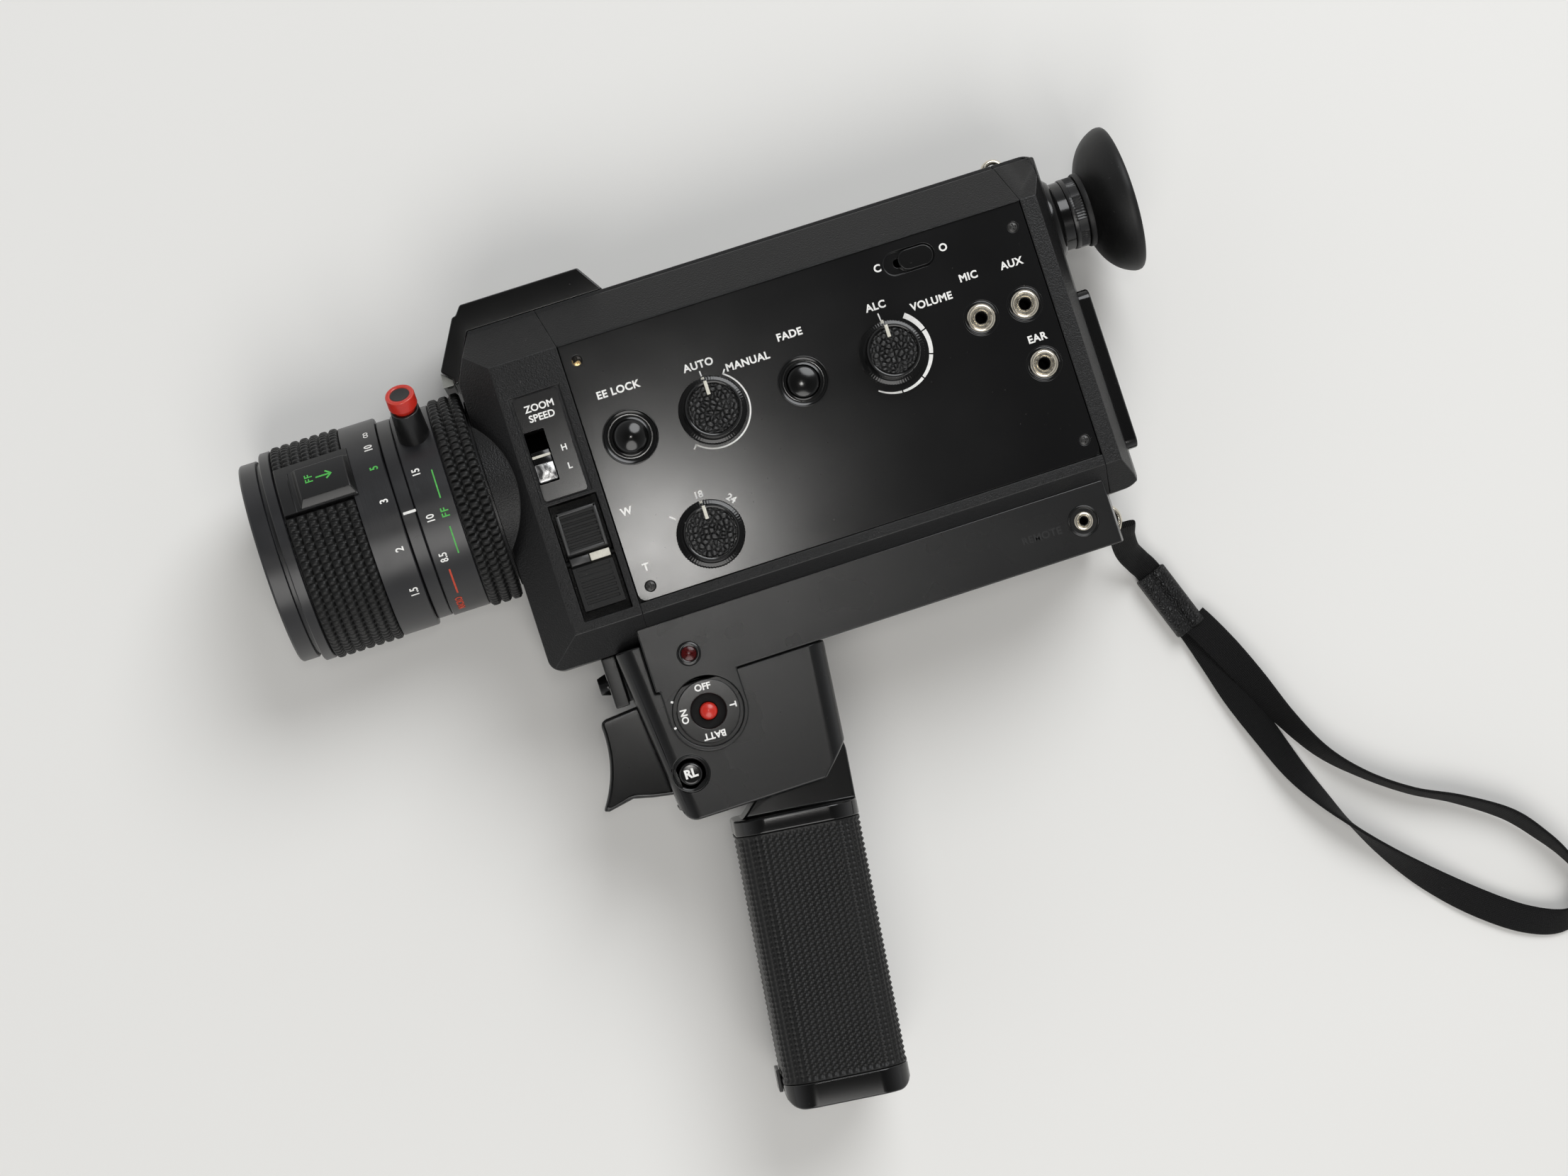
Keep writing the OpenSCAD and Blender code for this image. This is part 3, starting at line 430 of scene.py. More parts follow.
lens_axis = (0.0, 32.0)


def turned(profile, at=lens_axis, axis="x", count=160, wave=None):
    """A profile of (along, radius) swept round: column j stands at angle 2 pi j / count, at the
    radius plus the wave there."""
    profile = np.asarray(profile, float)
    angle = np.linspace(0, 2 * np.pi, count, endpoint=False)[None, :]
    along = np.repeat(profile[:, :1], count, 1)
    radius = profile[:, 1:2] + (np.zeros_like(along) if wave is None else wave(along, angle))
    radius = np.where(profile[:, 1:2] == 0, 0.0, radius)
    if axis == "x":
        return np.stack([along, at[0] + radius * np.sin(angle), at[1] + radius * np.cos(angle)], -1)
    return np.stack([at[0] + radius * np.cos(angle), at[1] + radius * np.sin(angle), along], -1)


def spun(name, profile, body, finish, nodes=(), at=lens_axis, axis="x", count=160, ring=True,
         sharp=30.0, wave=None):
    """Turned piece, fitted: a ring if its profile is closed, else solid to the axis."""
    grid = turned(profile, at, axis, count, wave)
    return fit(shell(name, grid, ring, sharp), body, finish, nodes)


anodised = Finish("black anodised aluminium", Metallic=0.0, Specular_IOR_Level=0.6)
place = anodised.place()
stretched = anodised.add("Mapping", {}, {"Vector": place, "Scale": (5200.0, 40.0, 40.0)})
lathe = anodised.noise(1.0, 2.0, stretched)
smear = anodised.noise(0.008, 3.0, place)
fluff = anodised.noise(0.0009, 2.0, place).ramp(0.75, 0.8)
tone = anodised.stir(smear, (0.006, 0.006, 0.007, 1), (0.011, 0.011, 0.0125, 1))
anodised.feed(Base_Color=anodised.stir(fluff * 0.12, tone, (0.3, 0.29, 0.27, 1)),
              Roughness=smear * 0.12 + 0.27, Normal=anodised.relief(lathe, 0.000012))

fixed_barrel = [(-50, 23.5), (-50, 26), (-26.6, 26), (-26.4, 26.2), (-26.4, 29.5), (-26.1, 29.7),
                (-22.5, 29.7), (-22.2, 29.5), (-22.2, 26), (9, 26), (9, 14), (28, 14), (28, 12),
                (6, 12), (6, 23.5)]
spun("fixed_barrel", fixed_barrel, "camera", anodised, ["lens_barrel"], count=180,
     sharp=25.0)
thread = [(-67.2 + 0.35 * i, 27.5 + (0.35 if i % 2 else 0.0)) for i in range(13)]
front_profile = ([(-67.5, 27.9), (-67.5, 29.1), (-67.2, 29.45), (-66.9, 29.6), (-62.5, 29.6),
                  (-62.2, 29.3),
                  (-62.2, 28.6), (-55.3, 28.6), (-55.3, 26.7), (-62.5, 26.7),
                  (-62.5, 27.5)] + thread[::-1])
spun("filter_ring", front_profile, "focus", anodised, ["front_ring"], count=180,
     sharp=25.0)
focus_profile = [(-61, 28.7), (-61, 30.9), (-60.7, 31.25), (-58.1, 31.25), (-57.8, 30.9),
                 (-57.8, 29.5),
                 (-37.3, 29.5), (-37.3, 31.0), (-37.1, 31.25), (-26.9, 31.25), (-26.6, 30.95),
                 (-26.6, 26.1),
                 (-55, 26.1), (-55, 28.7)]
spun("focus_ring_turned", focus_profile, "focus", anodised, ["focus_ring"], count=180,
     sharp=25.0)
zoom_profile = [(-22, 26.1), (-22, 29.9), (-21.75, 30.15), (-11.2, 30.15), (-10.9, 29.9),
                (-10.9, 29.2),
                (-1.1, 29.2), (-1.1, 26.1)]
spun("zoom_ring_turned", zoom_profile, "zoom", anodised, ["zoom_ring"], count=180,
     sharp=25.0)

# Rubber grips of the two rings: pads in rows, each pad a low pillow with a groove all round it.
black_rubber = Finish("moulded black rubber", Specular_IOR_Level=0.3)
place = black_rubber.place()
skin_grain = black_rubber.noise(0.00025, 3.0, place)
bloom = black_rubber.noise(0.012, 3.0, place)
lint = black_rubber.noise(0.0011, 2.0, place).ramp(0.72, 0.8)
tone = black_rubber.stir(bloom, (0.0035, 0.0035, 0.0035, 1), (0.009, 0.009, 0.0088, 1))
black_rubber.feed(Base_Color=black_rubber.stir(lint * 0.2, tone, (0.2, 0.2, 0.19, 1)),
                  Roughness=bloom * 0.18 + 0.34, Normal=black_rubber.relief(skin_grain, 0.000012))


def round_lens(along, radius, angle):
    """Points at the angle and radius round the lens, the angle being 0 straight up."""
    y, z = lens_axis[0] + radius * np.sin(angle), lens_axis[1] + radius * np.cos(angle)
    return np.stack(np.broadcast_arrays(along, y, z), -1)


def pillow(share, edge=0.22, dome=0.2):
    """Height over one pitch: 0 in the groove, then a quick rise to a slightly domed top."""
    off = np.abs(share % 1.0 - 0.5) * 2
    return np.clip((1 - off) / edge, 0, 1) ** 0.75 * (1 - dome * off ** 2)


def padded_ring(name, x0, x1, columns, pads, r_base, rise, fine, body, nodes, arc=None):
    """Band of pads: the radius is the base plus the rise times a pillow along times a pillow round.
    An arc keeps only the angles between its two."""
    x = np.linspace(x0, x1, columns * fine + 1)
    start, end = arc or (0.0, 360.0)
    count = int(pads * 7 * (end - start) / 360)
    angle = np.radians(np.linspace(start, end, count, endpoint=arc is not None))
    round_share = angle / (2 * np.pi) * pads
    top = r_base + rise * (0.12 + 0.88 * pillow((x - x0) / (x1 - x0) * columns, 0.42, 0.3)[:, None]
                           * pillow(round_share, 0.5, 0.35)[None, :])
    inner = np.full((1, len(angle)), r_base - 0.9)
    radius = np.vstack([inner, top, inner])
    along = np.concatenate([x[:1], x, x[-1:]])[:, None]
    points = round_lens(along, radius, angle)
    if arc:
        points = points.transpose(1, 0, 2)
    return fit(shell(name, points, arc is None, 50.0), body, black_rubber, nodes)


padded_ring("focus_grip", -57.6, -37.4, 7, 88, 30.75, 1.05, 8, "focus", ["focus_rubber"],
            (48.5, 375.5))
padded_ring("zoom_grip", -10.8, -1.2, 3, 84, 30.0, 1.1, 9, "zoom", ["zoom_rubber"])

# Distance key: a block that slides in the focus rubber to lock the ring for a fixed focus.
key_x = np.linspace(-57.3, -35.7, 110)[:, None]
key_turn = np.radians(np.linspace(17.3, 47.7, 90))[None, :]
key_y = (key_turn - math.radians(30.9)) * 33.0


def reach(value, low, high, slope):
    """0 outside low and high, 1 a slope's width inside them."""
    return np.clip(np.minimum(value - low, high - value) / slope, 0, 1)


foot = np.minimum(reach(key_x, -57.5, -35.6, 0.35), reach(key_y, -8.0, 9.9, 0.35))
sides = np.clip((key_y + 7.3) / 2.2, 0, 1) * np.clip((6.2 - key_y) / 0.9, 0, 1)
face = np.minimum(reach(key_x, -52.4, -36.0, 1.2), sides)
seam = np.clip(1 - np.abs(key_x + 53.6) / 0.3, 0, 1) * (key_y < 6.0)
key_top = 31.2 + 0.9 * foot ** 0.5 + 1.45 * face * foot - 0.35 * seam
under = np.where(key_x > -37.4, 31.45, 29.7) * np.ones((1, 2))
key_radius = np.hstack([np.maximum(key_top, np.where(key_x > -37.4, 31.6, 0)), under])
key_points = round_lens(key_x, key_radius, np.hstack([key_turn, key_turn[:, [-1, 0]]]))
fit(shell("fixed_focus_key", key_points, False, 40.0), "infinity_key", satin_black,
    ["ff_key"])

# Zoom lever: a tapering plastic post with a red cap that frees the macro range.
softened("zoom_lever", "zoom_post", "zoom", satin_black, 0.35)
red_plastic = moulded("red plastic", (0.52, 0.022, 0.012), (0.6, 0.08, 0.05), 0.3, 0.0004, 0.00001,
                      Specular_IOR_Level=0.5, Coat_Weight=0.15)
softened("macro_button", "red_macro_cap", "macro", red_plastic, 0.45)


def on_lever(points):
    """Tips points drawn upwards from the lens axis by 45 degrees, onto the zoom lever."""
    x, y, z = np.moveaxis(points, -1, 0)
    c = math.sqrt(0.5)
    return np.stack([x, c * (y + z), lens_axis[1] + c * (z - y)], -1)


inlay_profile = [(45.0, 0.0), (45.0, 2.88), (45.45, 2.88), (45.52, 2.7), (45.45, 2.2), (45.4, 1.2),
                 (45.38, 0.0)]
cap_inlay = on_lever(turned(inlay_profile, (-16.4, 0.0), "z", 72))
fit(shell("macro_cap_inlay", cap_inlay, False, 40.0), "macro", satin_black)

# Glass of the lens: coated elements in front, in the zooming cell and at the back.
coated = Finish("coated optical glass", Base_Color=(0.86, 0.9, 0.98, 1), Transmission_Weight=1.0,
                IOR=1.6, Thin_Film_Thickness=420.0, Thin_Film_IOR=1.38)
coated.feed(Roughness=coated.noise(0.01, 3.0) * 0.02)
softened("front_lens", "front_element", "focus", coated, 0.1)
softened("rear_lens_group", "rear_elements", "camera", coated, 0.1)
softened("variator_cell", "variator_ring", "variator", anodised, 0.1)

# ---------------------------------------------------------------------------------------------
# Knobs. A knurled skirt carries a cap whose top is inlaid with a disc of pebbled leather cloth;
# a white bar is set across the rim as the pointer.
plate_z = 61.4
exposure_at, volume_at, frame_rate_at = (65.9, 1.5), (119.2, 1.5), (54.7, -31.5)


def crackle(x, y, cell, seed):
    """Pebble height: the distance to the second-nearest seed less that to the nearest, levelled off."""
    rng = np.random.default_rng(seed)
    span = 18.0
    n = int(span / cell)
    gx, gy = np.meshgrid(np.arange(n), np.arange(n))
    sx = (gx + rng.uniform(0, 0.95, gx.shape)) * cell - span / 2
    sy = (gy + rng.uniform(0, 0.95, gy.shape)) * cell - span / 2
    seeds = np.stack([sx.ravel(), sy.ravel()], -1)
    near = np.sqrt(((np.stack([x.ravel(), y.ravel()], -1)[:, None] - seeds[None]) ** 2).sum(-1))
    near.partition(1, axis=1)
    return np.clip((near[:, 1] - near[:, 0]) / (0.45 * cell), 0, 1).reshape(x.shape) ** 0.7


def knob(name, at, r_skirt, r_cap, body, node, seed):
    """Skirt and cap turned in one, knurled low down, with the pebbled inlay sunk in its top."""
    z = plate_z
    skirt = [(52, 0), (52, 3), (z + 0.2, 3), (z + 0.2, r_skirt - 0.35), (z + 0.5, r_skirt - 0.1),
             (z + 1.6, r_skirt - 0.1), (z + 2.0, r_skirt - 0.4), (z + 2.25, r_cap + 0.75),
             (z + 2.6, r_cap + 0.5), (z + 7.2, r_cap + 0.25), (z + 7.75, r_cap + 0.1),
             (z + 8.0, r_cap - 0.25), (z + 7.9, r_cap - 0.55), (z + 7.0, r_cap - 0.6), (z + 7.0, 0)]
    spun(name, skirt, body, gloss_black, [node], at, "z", 288, False,
         wave=lambda along, angle: np.where(along < z + 2.2, 0.09 * np.cos(72 * angle), 0.0))
    radius = np.concatenate([[0.0], np.linspace(0.3, r_cap - 0.62, 46)])[:, None]
    angle = np.linspace(0, 2 * np.pi, 170, endpoint=False)[None, :]
    x, y = radius * np.cos(angle), radius * np.sin(angle)
    edge = np.clip((r_cap - 0.62 - radius) / 0.5, 0, 1)
    swell = crackle(x, y, 1.45, seed)
    top = z + 6.95 + 0.85 * swell * (0.25 + 0.75 * edge)
    top[0] = top[0].mean()
    lower = np.full_like(x[-1:], z + 6.8)
    points = np.stack([at[0] + np.vstack([x, x[-1:], 0 * x[:1]]),
                       at[1] + np.vstack([y, y[-1:], 0 * y[:1]]), np.vstack([top, lower, lower])],
                      -1)
    # The pebble height goes with the inlay as a field; the inlay finish uses it to paint shade in the
    # creases and highlights on the pebble tops.
    swell = np.vstack([swell, 0 * lower, 0 * lower])
    fit(shell(name + "_inlay", points, False, 80.0, {"swell": swell}), body, inlay)


# Leather cloth of the knob tops: its colour follows the pebble height, with painted shade in the creases and
# painted highlights on the tops.
inlay = Finish("leather cloth", Specular_IOR_Level=0.45)
fleck = inlay.noise(0.0004, 3.0)
pebble_height_for_painted_light = inlay.add("Attribute", {"attribute_name": "swell"}, output="Fac")
inlay.feed(Base_Color=inlay.stir(pebble_height_for_painted_light * 0.8 + fleck * 0.2, (0.001, 0.001, 0.001, 1),
                                 (0.03, 0.03, 0.03, 1)),
           Roughness=0.55 - pebble_height_for_painted_light * 0.25, Normal=inlay.relief(fleck, 0.00003))
knob("exposure_knob_cap", exposure_at, 9.8, 7.8, "exposure", "exposure_knob", 3)
knob("volume_knob_cap", volume_at, 9.5, 7.4, "volume", "volume_knob", 5)
knob("frame_rate_knob_cap", frame_rate_at, 9.8, 7.7, "frame_rate", "frame_rate_knob", 8)

# Push buttons: domed caps in round wells, each well edged by a thin bright lip.
exposure_lock_at, fade_at, run_lock_at, dial_at = (41.6, 1.5), (92.9, 1.5), (28.6, -94.2), (38.8, -78.8)


def dome_button(name, at, radius, z_top, rise, body, node, stem=2.0, depth=9.0,
                finish=gloss_black):
    """Button whose top is a dome: the height falls with the square of the radius."""
    r = np.linspace(0, radius - 0.5, 9)
    dome = [(z_top - rise * (v / radius) ** 2, v) for v in r]
    profile = dome + [(z_top - rise - 0.25, radius - 0.12), (z_top - rise - 0.7, radius),
                      (z_top - 4.4, radius), (z_top - 4.4, stem), (z_top - depth, stem),
                      (z_top - depth, 0)]
    spun(name, profile, body, finish, [node], at, "z", 96, False, 40.0)


dome_button("exposure_lock_cap", exposure_lock_at, 4.9, 64.0, 1.5, "exposure_lock",
            "exposure_lock_button")
dome_button("fade_cap", fade_at, 4.7, 62.0, 0.7, "fade", "fade_button")
dome_button("run_lock_cap", run_lock_at, 3.3, 57.6, 0.1, "run_lock", "run_lock_button", 2.0, 6.1)
dome_button("dial_red_cap", dial_at, 2.5, 60.2, 0.8, "dial_red", "dial_button", 1.8, 7.2,
            red_plastic)


def seat(name, profile, at, sharp=50.0, count=112):
    """Gloss black ring round a hole in the camera's left face."""
    spun(name, profile, "camera", gloss_black, (), at, "z", count, True, sharp)


def lip(name, at, z, r_in, r_out, rise=0.25):
    """Raised round lip: half-round section between two radii."""
    half, middle = (r_out - r_in) / 2, (r_in + r_out) / 2
    seat(name, [(z - 0.3, r_in)] + [(z + rise * math.sin(t), middle - half * math.cos(t))
                                    for t in np.linspace(0, np.pi, 9)] + [(z - 0.3, r_out)], at)


polished = Finish("polished metal", Metallic=1.0)
scuff = polished.noise(0.0008, 3.0)
polished.feed(Base_Color=polished.stir(scuff, (0.6, 0.55, 0.45, 1), (0.82, 0.77, 0.66, 1)),
              Roughness=scuff * 0.22 + 0.08, Normal=polished.relief(scuff, 0.00002))
lip("exposure_lock_lip", exposure_lock_at, plate_z, 7.5, 8.0, 0.3)
lip("fade_lip", fade_at, plate_z, 6.9, 7.35, 0.3)
for name, at, r_in, r_out in [("exposure_lock_well", exposure_lock_at, 5.0, 7.4),
                              ("fade_well", fade_at, 4.8, 6.8)]:
    z = plate_z
    seat(name, [(z - 0.6, r_in), (z - 0.35, r_in + 0.1), (z - 0.5, r_in + 0.6),
                (z - 0.5, r_out - 0.5),
                (z - 0.3, r_out), (z - 0.6, r_out)], at)
lip("run_lock_lip", run_lock_at, 56.5, 4.9, 5.3)

# Sockets: chromed bushes with dark bores, for microphone, auxiliary, earphone and remote.
dark = Finish("dark bore", Base_Color=(0.004, 0.004, 0.004, 1), Specular_IOR_Level=0.2)
dark.feed(Roughness=dark.noise(0.001) * 0.2 + 0.6)
sockets = [(146.7, 3.3, plate_z, 4.0, 1.75), (159.8, 3.3, plate_z, 4.0, 1.75),
           (159.8, -14.5, plate_z, 4.0, 1.75), (157.1, -60.5, 58.0, 2.7, 1.25)]
for index, (x, y, z, flange, bore) in enumerate(sockets):
    bush = [(z - 9.9, flange * 0.78), (z - 0.35, flange * 0.78), (z - 0.35, flange),
            (z + 0.15, flange),
            (z + 0.42, flange - 0.25), (z + 0.5, flange - 0.6), (z + 0.3, flange - 0.9),
            (z + 0.05, flange - 1.1), (z + 0.05, bore + 0.55), (z + 0.3, bore + 0.35),
            (z + 0.3, bore + 0.1), (z + 0.1, bore), (z - 9, bore), (z - 9, bore * 0.98),
            (z - 9.9, bore)]
    spun(f"socket_{index}", bush, "camera", polished,
         ["jack_sockets"] if index == 0 else (), (x, y), "z", 96, True, 35.0)
    well = [(z - 8.9, 0), (z - 8.9, bore - 0.02), (z - 0.2, bore - 0.02), (z - 0.2, bore - 0.12),
            (z - 8.7, bore - 0.12), (z - 8.7, 0)]
    spun(f"socket_bore_{index}", well, "camera", dark, (), (x, y), "z", 64, False,
         35.0)
    if index < 3:
        lip(f"socket_seat_{index}", (x, y), z - 0.15, 4.05, 4.95, 0.2)
    else:
        lip(f"socket_seat_{index}", (x, y), z, 3.9, 4.6)

# Recording lamp: a domed red lens in the rail.
lamp_red = Finish("red lamp lens", Transmission_Weight=0.25, IOR=1.49, Coat_Weight=0.1,
                  Coat_Roughness=0.05, Specular_IOR_Level=0.3)
facets = lamp_red.add("TexVoronoi", {}, {"Vector": lamp_red.place(), "Scale": 1500.0})
lamp_red.feed(Base_Color=lamp_red.stir(facets, (0.03, 0.001, 0.001, 1), (0.11, 0.003, 0.004, 1)),
              Roughness=facets * 0.2 + 0.12)
softened("status_lamp", "recording_lamp", "camera", lamp_red, 0.3)
bezel = [(57.7, 3.5), (58.15, 3.5), (58.45, 3.2), (58.55, 2.6), (58.4, 2.2), (58.1, 2.15),
         (57.7, 2.15)]
seat("recording_lamp_bezel", bezel, (38.5, -61.7), count=96)

# Screws of the plate: black oxide, but one has rubbed to its brass.
brass = Finish("rubbed brass", Metallic=1.0)
patina = brass.noise(0.0008, 3.0)
brass.feed(Base_Color=brass.stir(patina, (0.42, 0.3, 0.14, 1), (0.72, 0.56, 0.28, 1)),
           Roughness=patina * 0.3 + 0.2)
part_rubbed = Finish("brass under worn black oxide", Metallic=0.8)
patch = part_rubbed.noise(0.0024, 2.0).ramp(0.5, 0.56)
part_rubbed.feed(Base_Color=part_rubbed.stir(patch, (0.02, 0.018, 0.016, 1), (0.75, 0.55, 0.27, 1)),
                 Roughness=0.4 - patch * 0.15)
oxide = Finish("black oxide steel", Metallic=0.6, Specular_IOR_Level=0.5)
patina = oxide.noise(0.0006, 3.0)
oxide.feed(Base_Color=oxide.stir(patina, (0.02, 0.02, 0.02, 1), (0.09, 0.088, 0.085, 1)),
           Roughness=patina * 0.25 + 0.25)


def cross_screw(name, x, y, z, finish, nodes=()):
    """Round-headed screw: the height falls as a dome, and drops where x or y is near 0, as a cross."""
    radius = np.concatenate([[0.0], np.linspace(0.08, 1.42, 18)])[:, None]
    angle = np.linspace(0, 2 * np.pi, 96, endpoint=False)[None, :]
    u, v = radius * np.cos(angle + 0.5), radius * np.sin(angle + 0.5)
    arm = np.clip((0.24 - np.minimum(np.abs(u), np.abs(v))) / 0.08, 0, 1)
    arm = arm * np.clip((1.0 - radius) / 0.15, 0, 1)
    top = z - 0.28 * (radius / 1.42) ** 2 * np.ones_like(u) - 0.4 * arm
    under = np.full_like(u[:1], z - 0.95)
    points = np.stack([x + np.vstack([u, u[-1:], 0 * u[:1]]), y + np.vstack([v, v[-1:], 0 * v[:1]]),
                       np.vstack([top, under, under])], -1)
    fit(shell(name, points, False, 45.0), "camera", finish, nodes)


cross_screw("plate_screw_brass", 33.8, 26.5, 61.3, part_rubbed, ["case_screws"])
for index, (x, y) in enumerate([(163.3, 25.2), (164, -38.7), (34, -40.3)]):
    cross_screw(f"plate_screw_{index}", x, y, 61.3, oxide)

# Finder-blind slider, speed slider and zoom rocker: moulded plastic keys in slots of the face.


def round_outline(width, depth, radius, steps):
    """Rounded rectangle at even steps round its edge, with the outward direction at each: four
    straight sides joined by quarter circles."""
    runs = [depth - 2 * radius, math.pi / 2 * radius, width - 2 * radius, math.pi / 2 * radius] * 2
    ends = np.concatenate([[0], np.cumsum(runs)])
    s = np.linspace(0, ends[-1], steps, endpoint=False)
    k = np.clip(np.searchsorted(ends, s, "right") - 1, 0, 7)
    part = s - ends[k]
    quarter = k // 2
    heading = quarter * np.pi / 2 + np.where(k % 2 == 1, part / radius, 0.0)
    corner = np.array([[width / 2 - radius, depth / 2 - radius],
                       [-width / 2 + radius, depth / 2 - radius],
                       [-width / 2 + radius, -depth / 2 + radius],
                       [width / 2 - radius, -depth / 2 + radius]])[quarter]
    out = np.stack([np.cos(heading), np.sin(heading)], -1)
    slide = np.where(k % 2 == 0, part - np.array(runs)[k], 0.0)
    forward = np.stack([-np.sin(heading), np.cos(heading)], -1)
    return corner + out * radius + forward * slide[:, None], out, s, ends[-1]


def bar(name, low, high, body, finish, width=0.2):
    """Small moulded block: a box whose twelve edges are rounded by `width`."""
    low, high = np.asarray(low, float), np.asarray(high, float)
    work = bmesh.new()
    bmesh.ops.create_cube(work, size=1.0)
    for v in work.verts:
        v.co = row((low + high) / 2 + np.array(v.co) * (high - low))
    bmesh.ops.bevel(work, geom=work.edges, offset=width / 1000, segments=2, profile=0.5,
                    affect="EDGES")
    mesh = bpy.data.meshes.new(name)
    work.to_mesh(mesh)
    work.free()
    mesh.shade_smooth()
    mesh.set_sharp_from_angle(angle=math.radians(50))
    return fit(bpy.data.objects.new(name, mesh), body, finish)


softened("finder_shutter", "finder_blind_slide", "shutter_lever", gloss_black, 0.3)
chrome_cap = Finish("mottled chrome", Metallic=1.0)
blot = chrome_cap.noise(0.0035, 4.0, distortion=1.5)
chrome_cap.feed(Base_Color=chrome_cap.stir(blot.ramp(0.4, 0.6), (0.28, 0.28, 0.28, 1),
                                           (0.85, 0.85, 0.84, 1)),
                Roughness=blot * 0.35 + 0.1, Normal=chrome_cap.relief(blot, 0.0001))
grey_plastic = moulded("grey plastic", (0.035, 0.035, 0.035), (0.2, 0.2, 0.2), 0.35, 0.0003,
                       0.00001)
cream_plastic = moulded("cream plastic", (0.62, 0.6, 0.52), (0.66, 0.64, 0.56), 0.35, 0.0005,
                        0.00001)
slider_cap = bar("speed_slider_cap", (13.35, -3.4, 60.7), (18.8, 1.8, 62.4), "speed_slider",
                 chrome_cap, 0.35)
bar("speed_slider_base", (13.35, -3.65, 57.0), (18.8, 5.5, 60.8), "speed_slider",
    gloss_black, 0.2)
bar("speed_slider_line", (13.4, 3.6, 60.7), (18.75, 4.35, 61.15), "speed_slider",
    cream_plastic, 0.08)
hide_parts("zoom_speed_slider")
softened("zoom_rocker", "rocker_pads", "rocker", black_rubber, 0.12)

# Switch panel: a thin satin plate round the slot of the speed slider.
panel_outer = round_outline(12.9, 30.3, 0.9, 160)[0] + np.array([19.4, 6.2])
panel_inner = round_outline(5.9, 15.3, 0.25, 160)[0] + np.array([16.1, 3.7])
panel_edge = round_outline(12.5, 29.9, 0.7, 160)[0] + np.array([19.4, 6.2])
panel_rows = [(panel_outer, 61.45), (panel_outer, 61.8), (panel_edge, 61.95), (panel_inner, 61.95),
              (panel_inner, 61.45)]
panel = np.stack([np.column_stack([edge, np.full(len(edge), z)]) for edge, z in panel_rows])
fit(shell("switch_panel", panel, True, 30.0), "camera", plate_paint)
softened("mode_dial", "mode_dial_turned", "dial", gloss_black, 0.3)
recess = [(57.85, 2.7), (58.0, 2.75), (57.95, 4.6), (58.3, 4.95), (57.85, 4.95)]
spun("dial_recess", recess, "dial", dark, (), dial_at, "z", 96, True, 50.0)
softened("release_knob", "remote_release_cone", "release", gloss_black, 0.3)


for name, low, high in [("rocker_frame_top", (14.5, -14.0, 61.2), (26.3, -13.1, 62.0)),
                        ("rocker_frame_bottom", (14.5, -25.2, 60.9), (26.3, -24.3, 61.6)),
                        ("rocker_frame_front", (14.5, -25.2, 60.9), (15.4, -13.1, 62.0)),
                        ("rocker_frame_rear", (25.4, -25.2, 60.9), (26.3, -13.1, 62.0)),
                        ("rocker_bar_front", (14.6, -28.4, 59.2), (20.2, -26.2, 60.3))]:
    bar(name, low, high, "rocker", grey_plastic)
bar("rocker_bar_rear", (20.4, -28.4, 59.2), (26.2, -26.2, 60.7), "rocker",
    cream_plastic)

# ---------------------------------------------------------------------------------------------
# Eyepiece: a black collar, a dioptre ring knurled in groups, and a soft rubber cup.
finder = (26.6, 32.0)
collar = [(175.5, 6.6), (175.5, 12.5), (178, 12.5), (179.2, 12.25), (180.1, 11.8), (180.8, 11.1),
          (181.3, 10.1), (184, 10.1), (184, 8),
          (191, 8), (191, 6.6)]
spun("eyepiece_collar_turned", collar, "camera", gloss_black, ["eyepiece_collar"],
     finder, "x", 128)
dioptre = [(184.2, 8.05), (184.2, 10.3), (184.5, 10.45), (185.5, 10.45), (185.6, 10.35),
           (187.2, 10.35), (188.2, 10.35), (188.4, 10.2), (188.4, 9.4),
           (192.5, 9.4), (192.5, 8.05)]


def ridges(along, angle):
    """Six groups of fine ridges round the middle band of the dioptre ring."""
    band = (along > 185.5) & (along < 188.3) & (np.cos(6 * angle) > -0.55)
    return np.where(band, 0.12 * np.cos(78 * angle), 0.0)


spun("dioptre_ring_turned", dioptre, "dioptre", satin_black, ["dioptre_ring"],
     finder, "x", 312, wave=ridges)


def bend(a, b, c, steps):
    """Curve that leaves a towards b and arrives at c: (1-t)^2 a + 2t(1-t) b + t^2 c."""
    t = np.linspace(0, 1, steps)[:, None]
    start, pull, end = np.array(a), np.array(b), np.array(c)
    return ((1 - t) ** 2 * start + 2 * t * (1 - t) * pull + t ** 2 * end).tolist()


cup = ([[188.6, 9.4], [188.6, 10.8], [188.9, 11.0]] + bend((190.2, 11), (192.5, 19.5),
                                                           (199.3, 21.7), 26)
       + [[200.1, 21.78], [200.9, 21.65], [201.35, 21.3], [201.45, 20.9], [201.3, 20.5],
          [200.9, 20.3]]
       + bend((199.1, 20.0), (194, 18), (192.6, 11), 26) + [[192.6, 9.4]])
cup_rubber = Finish("soft black rubber", Specular_IOR_Level=0.35)
haze = cup_rubber.noise(0.006, 4.0)
speck = cup_rubber.noise(0.0008, 2.0).ramp(0.7, 0.78)
cup_rubber.feed(Base_Color=cup_rubber.stir(speck * 0.15,
                                           cup_rubber.stir(haze, (0.004, 0.004, 0.004, 1),
                                                           (0.008, 0.008, 0.008, 1)),
                                           (0.2, 0.2, 0.19, 1)),
                Roughness=haze * 0.2 + 0.38,
                Normal=cup_rubber.relief(cup_rubber.noise(0.0004), 0.00002))
fit(shell("eyecup_rubber", turned(cup, finder, "x", 160), True, 40.0), "dioptre",
    cup_rubber, ["eyecup"])
softened("eyepiece_lens", "eyepiece_glass", "camera", coated, 0.1)

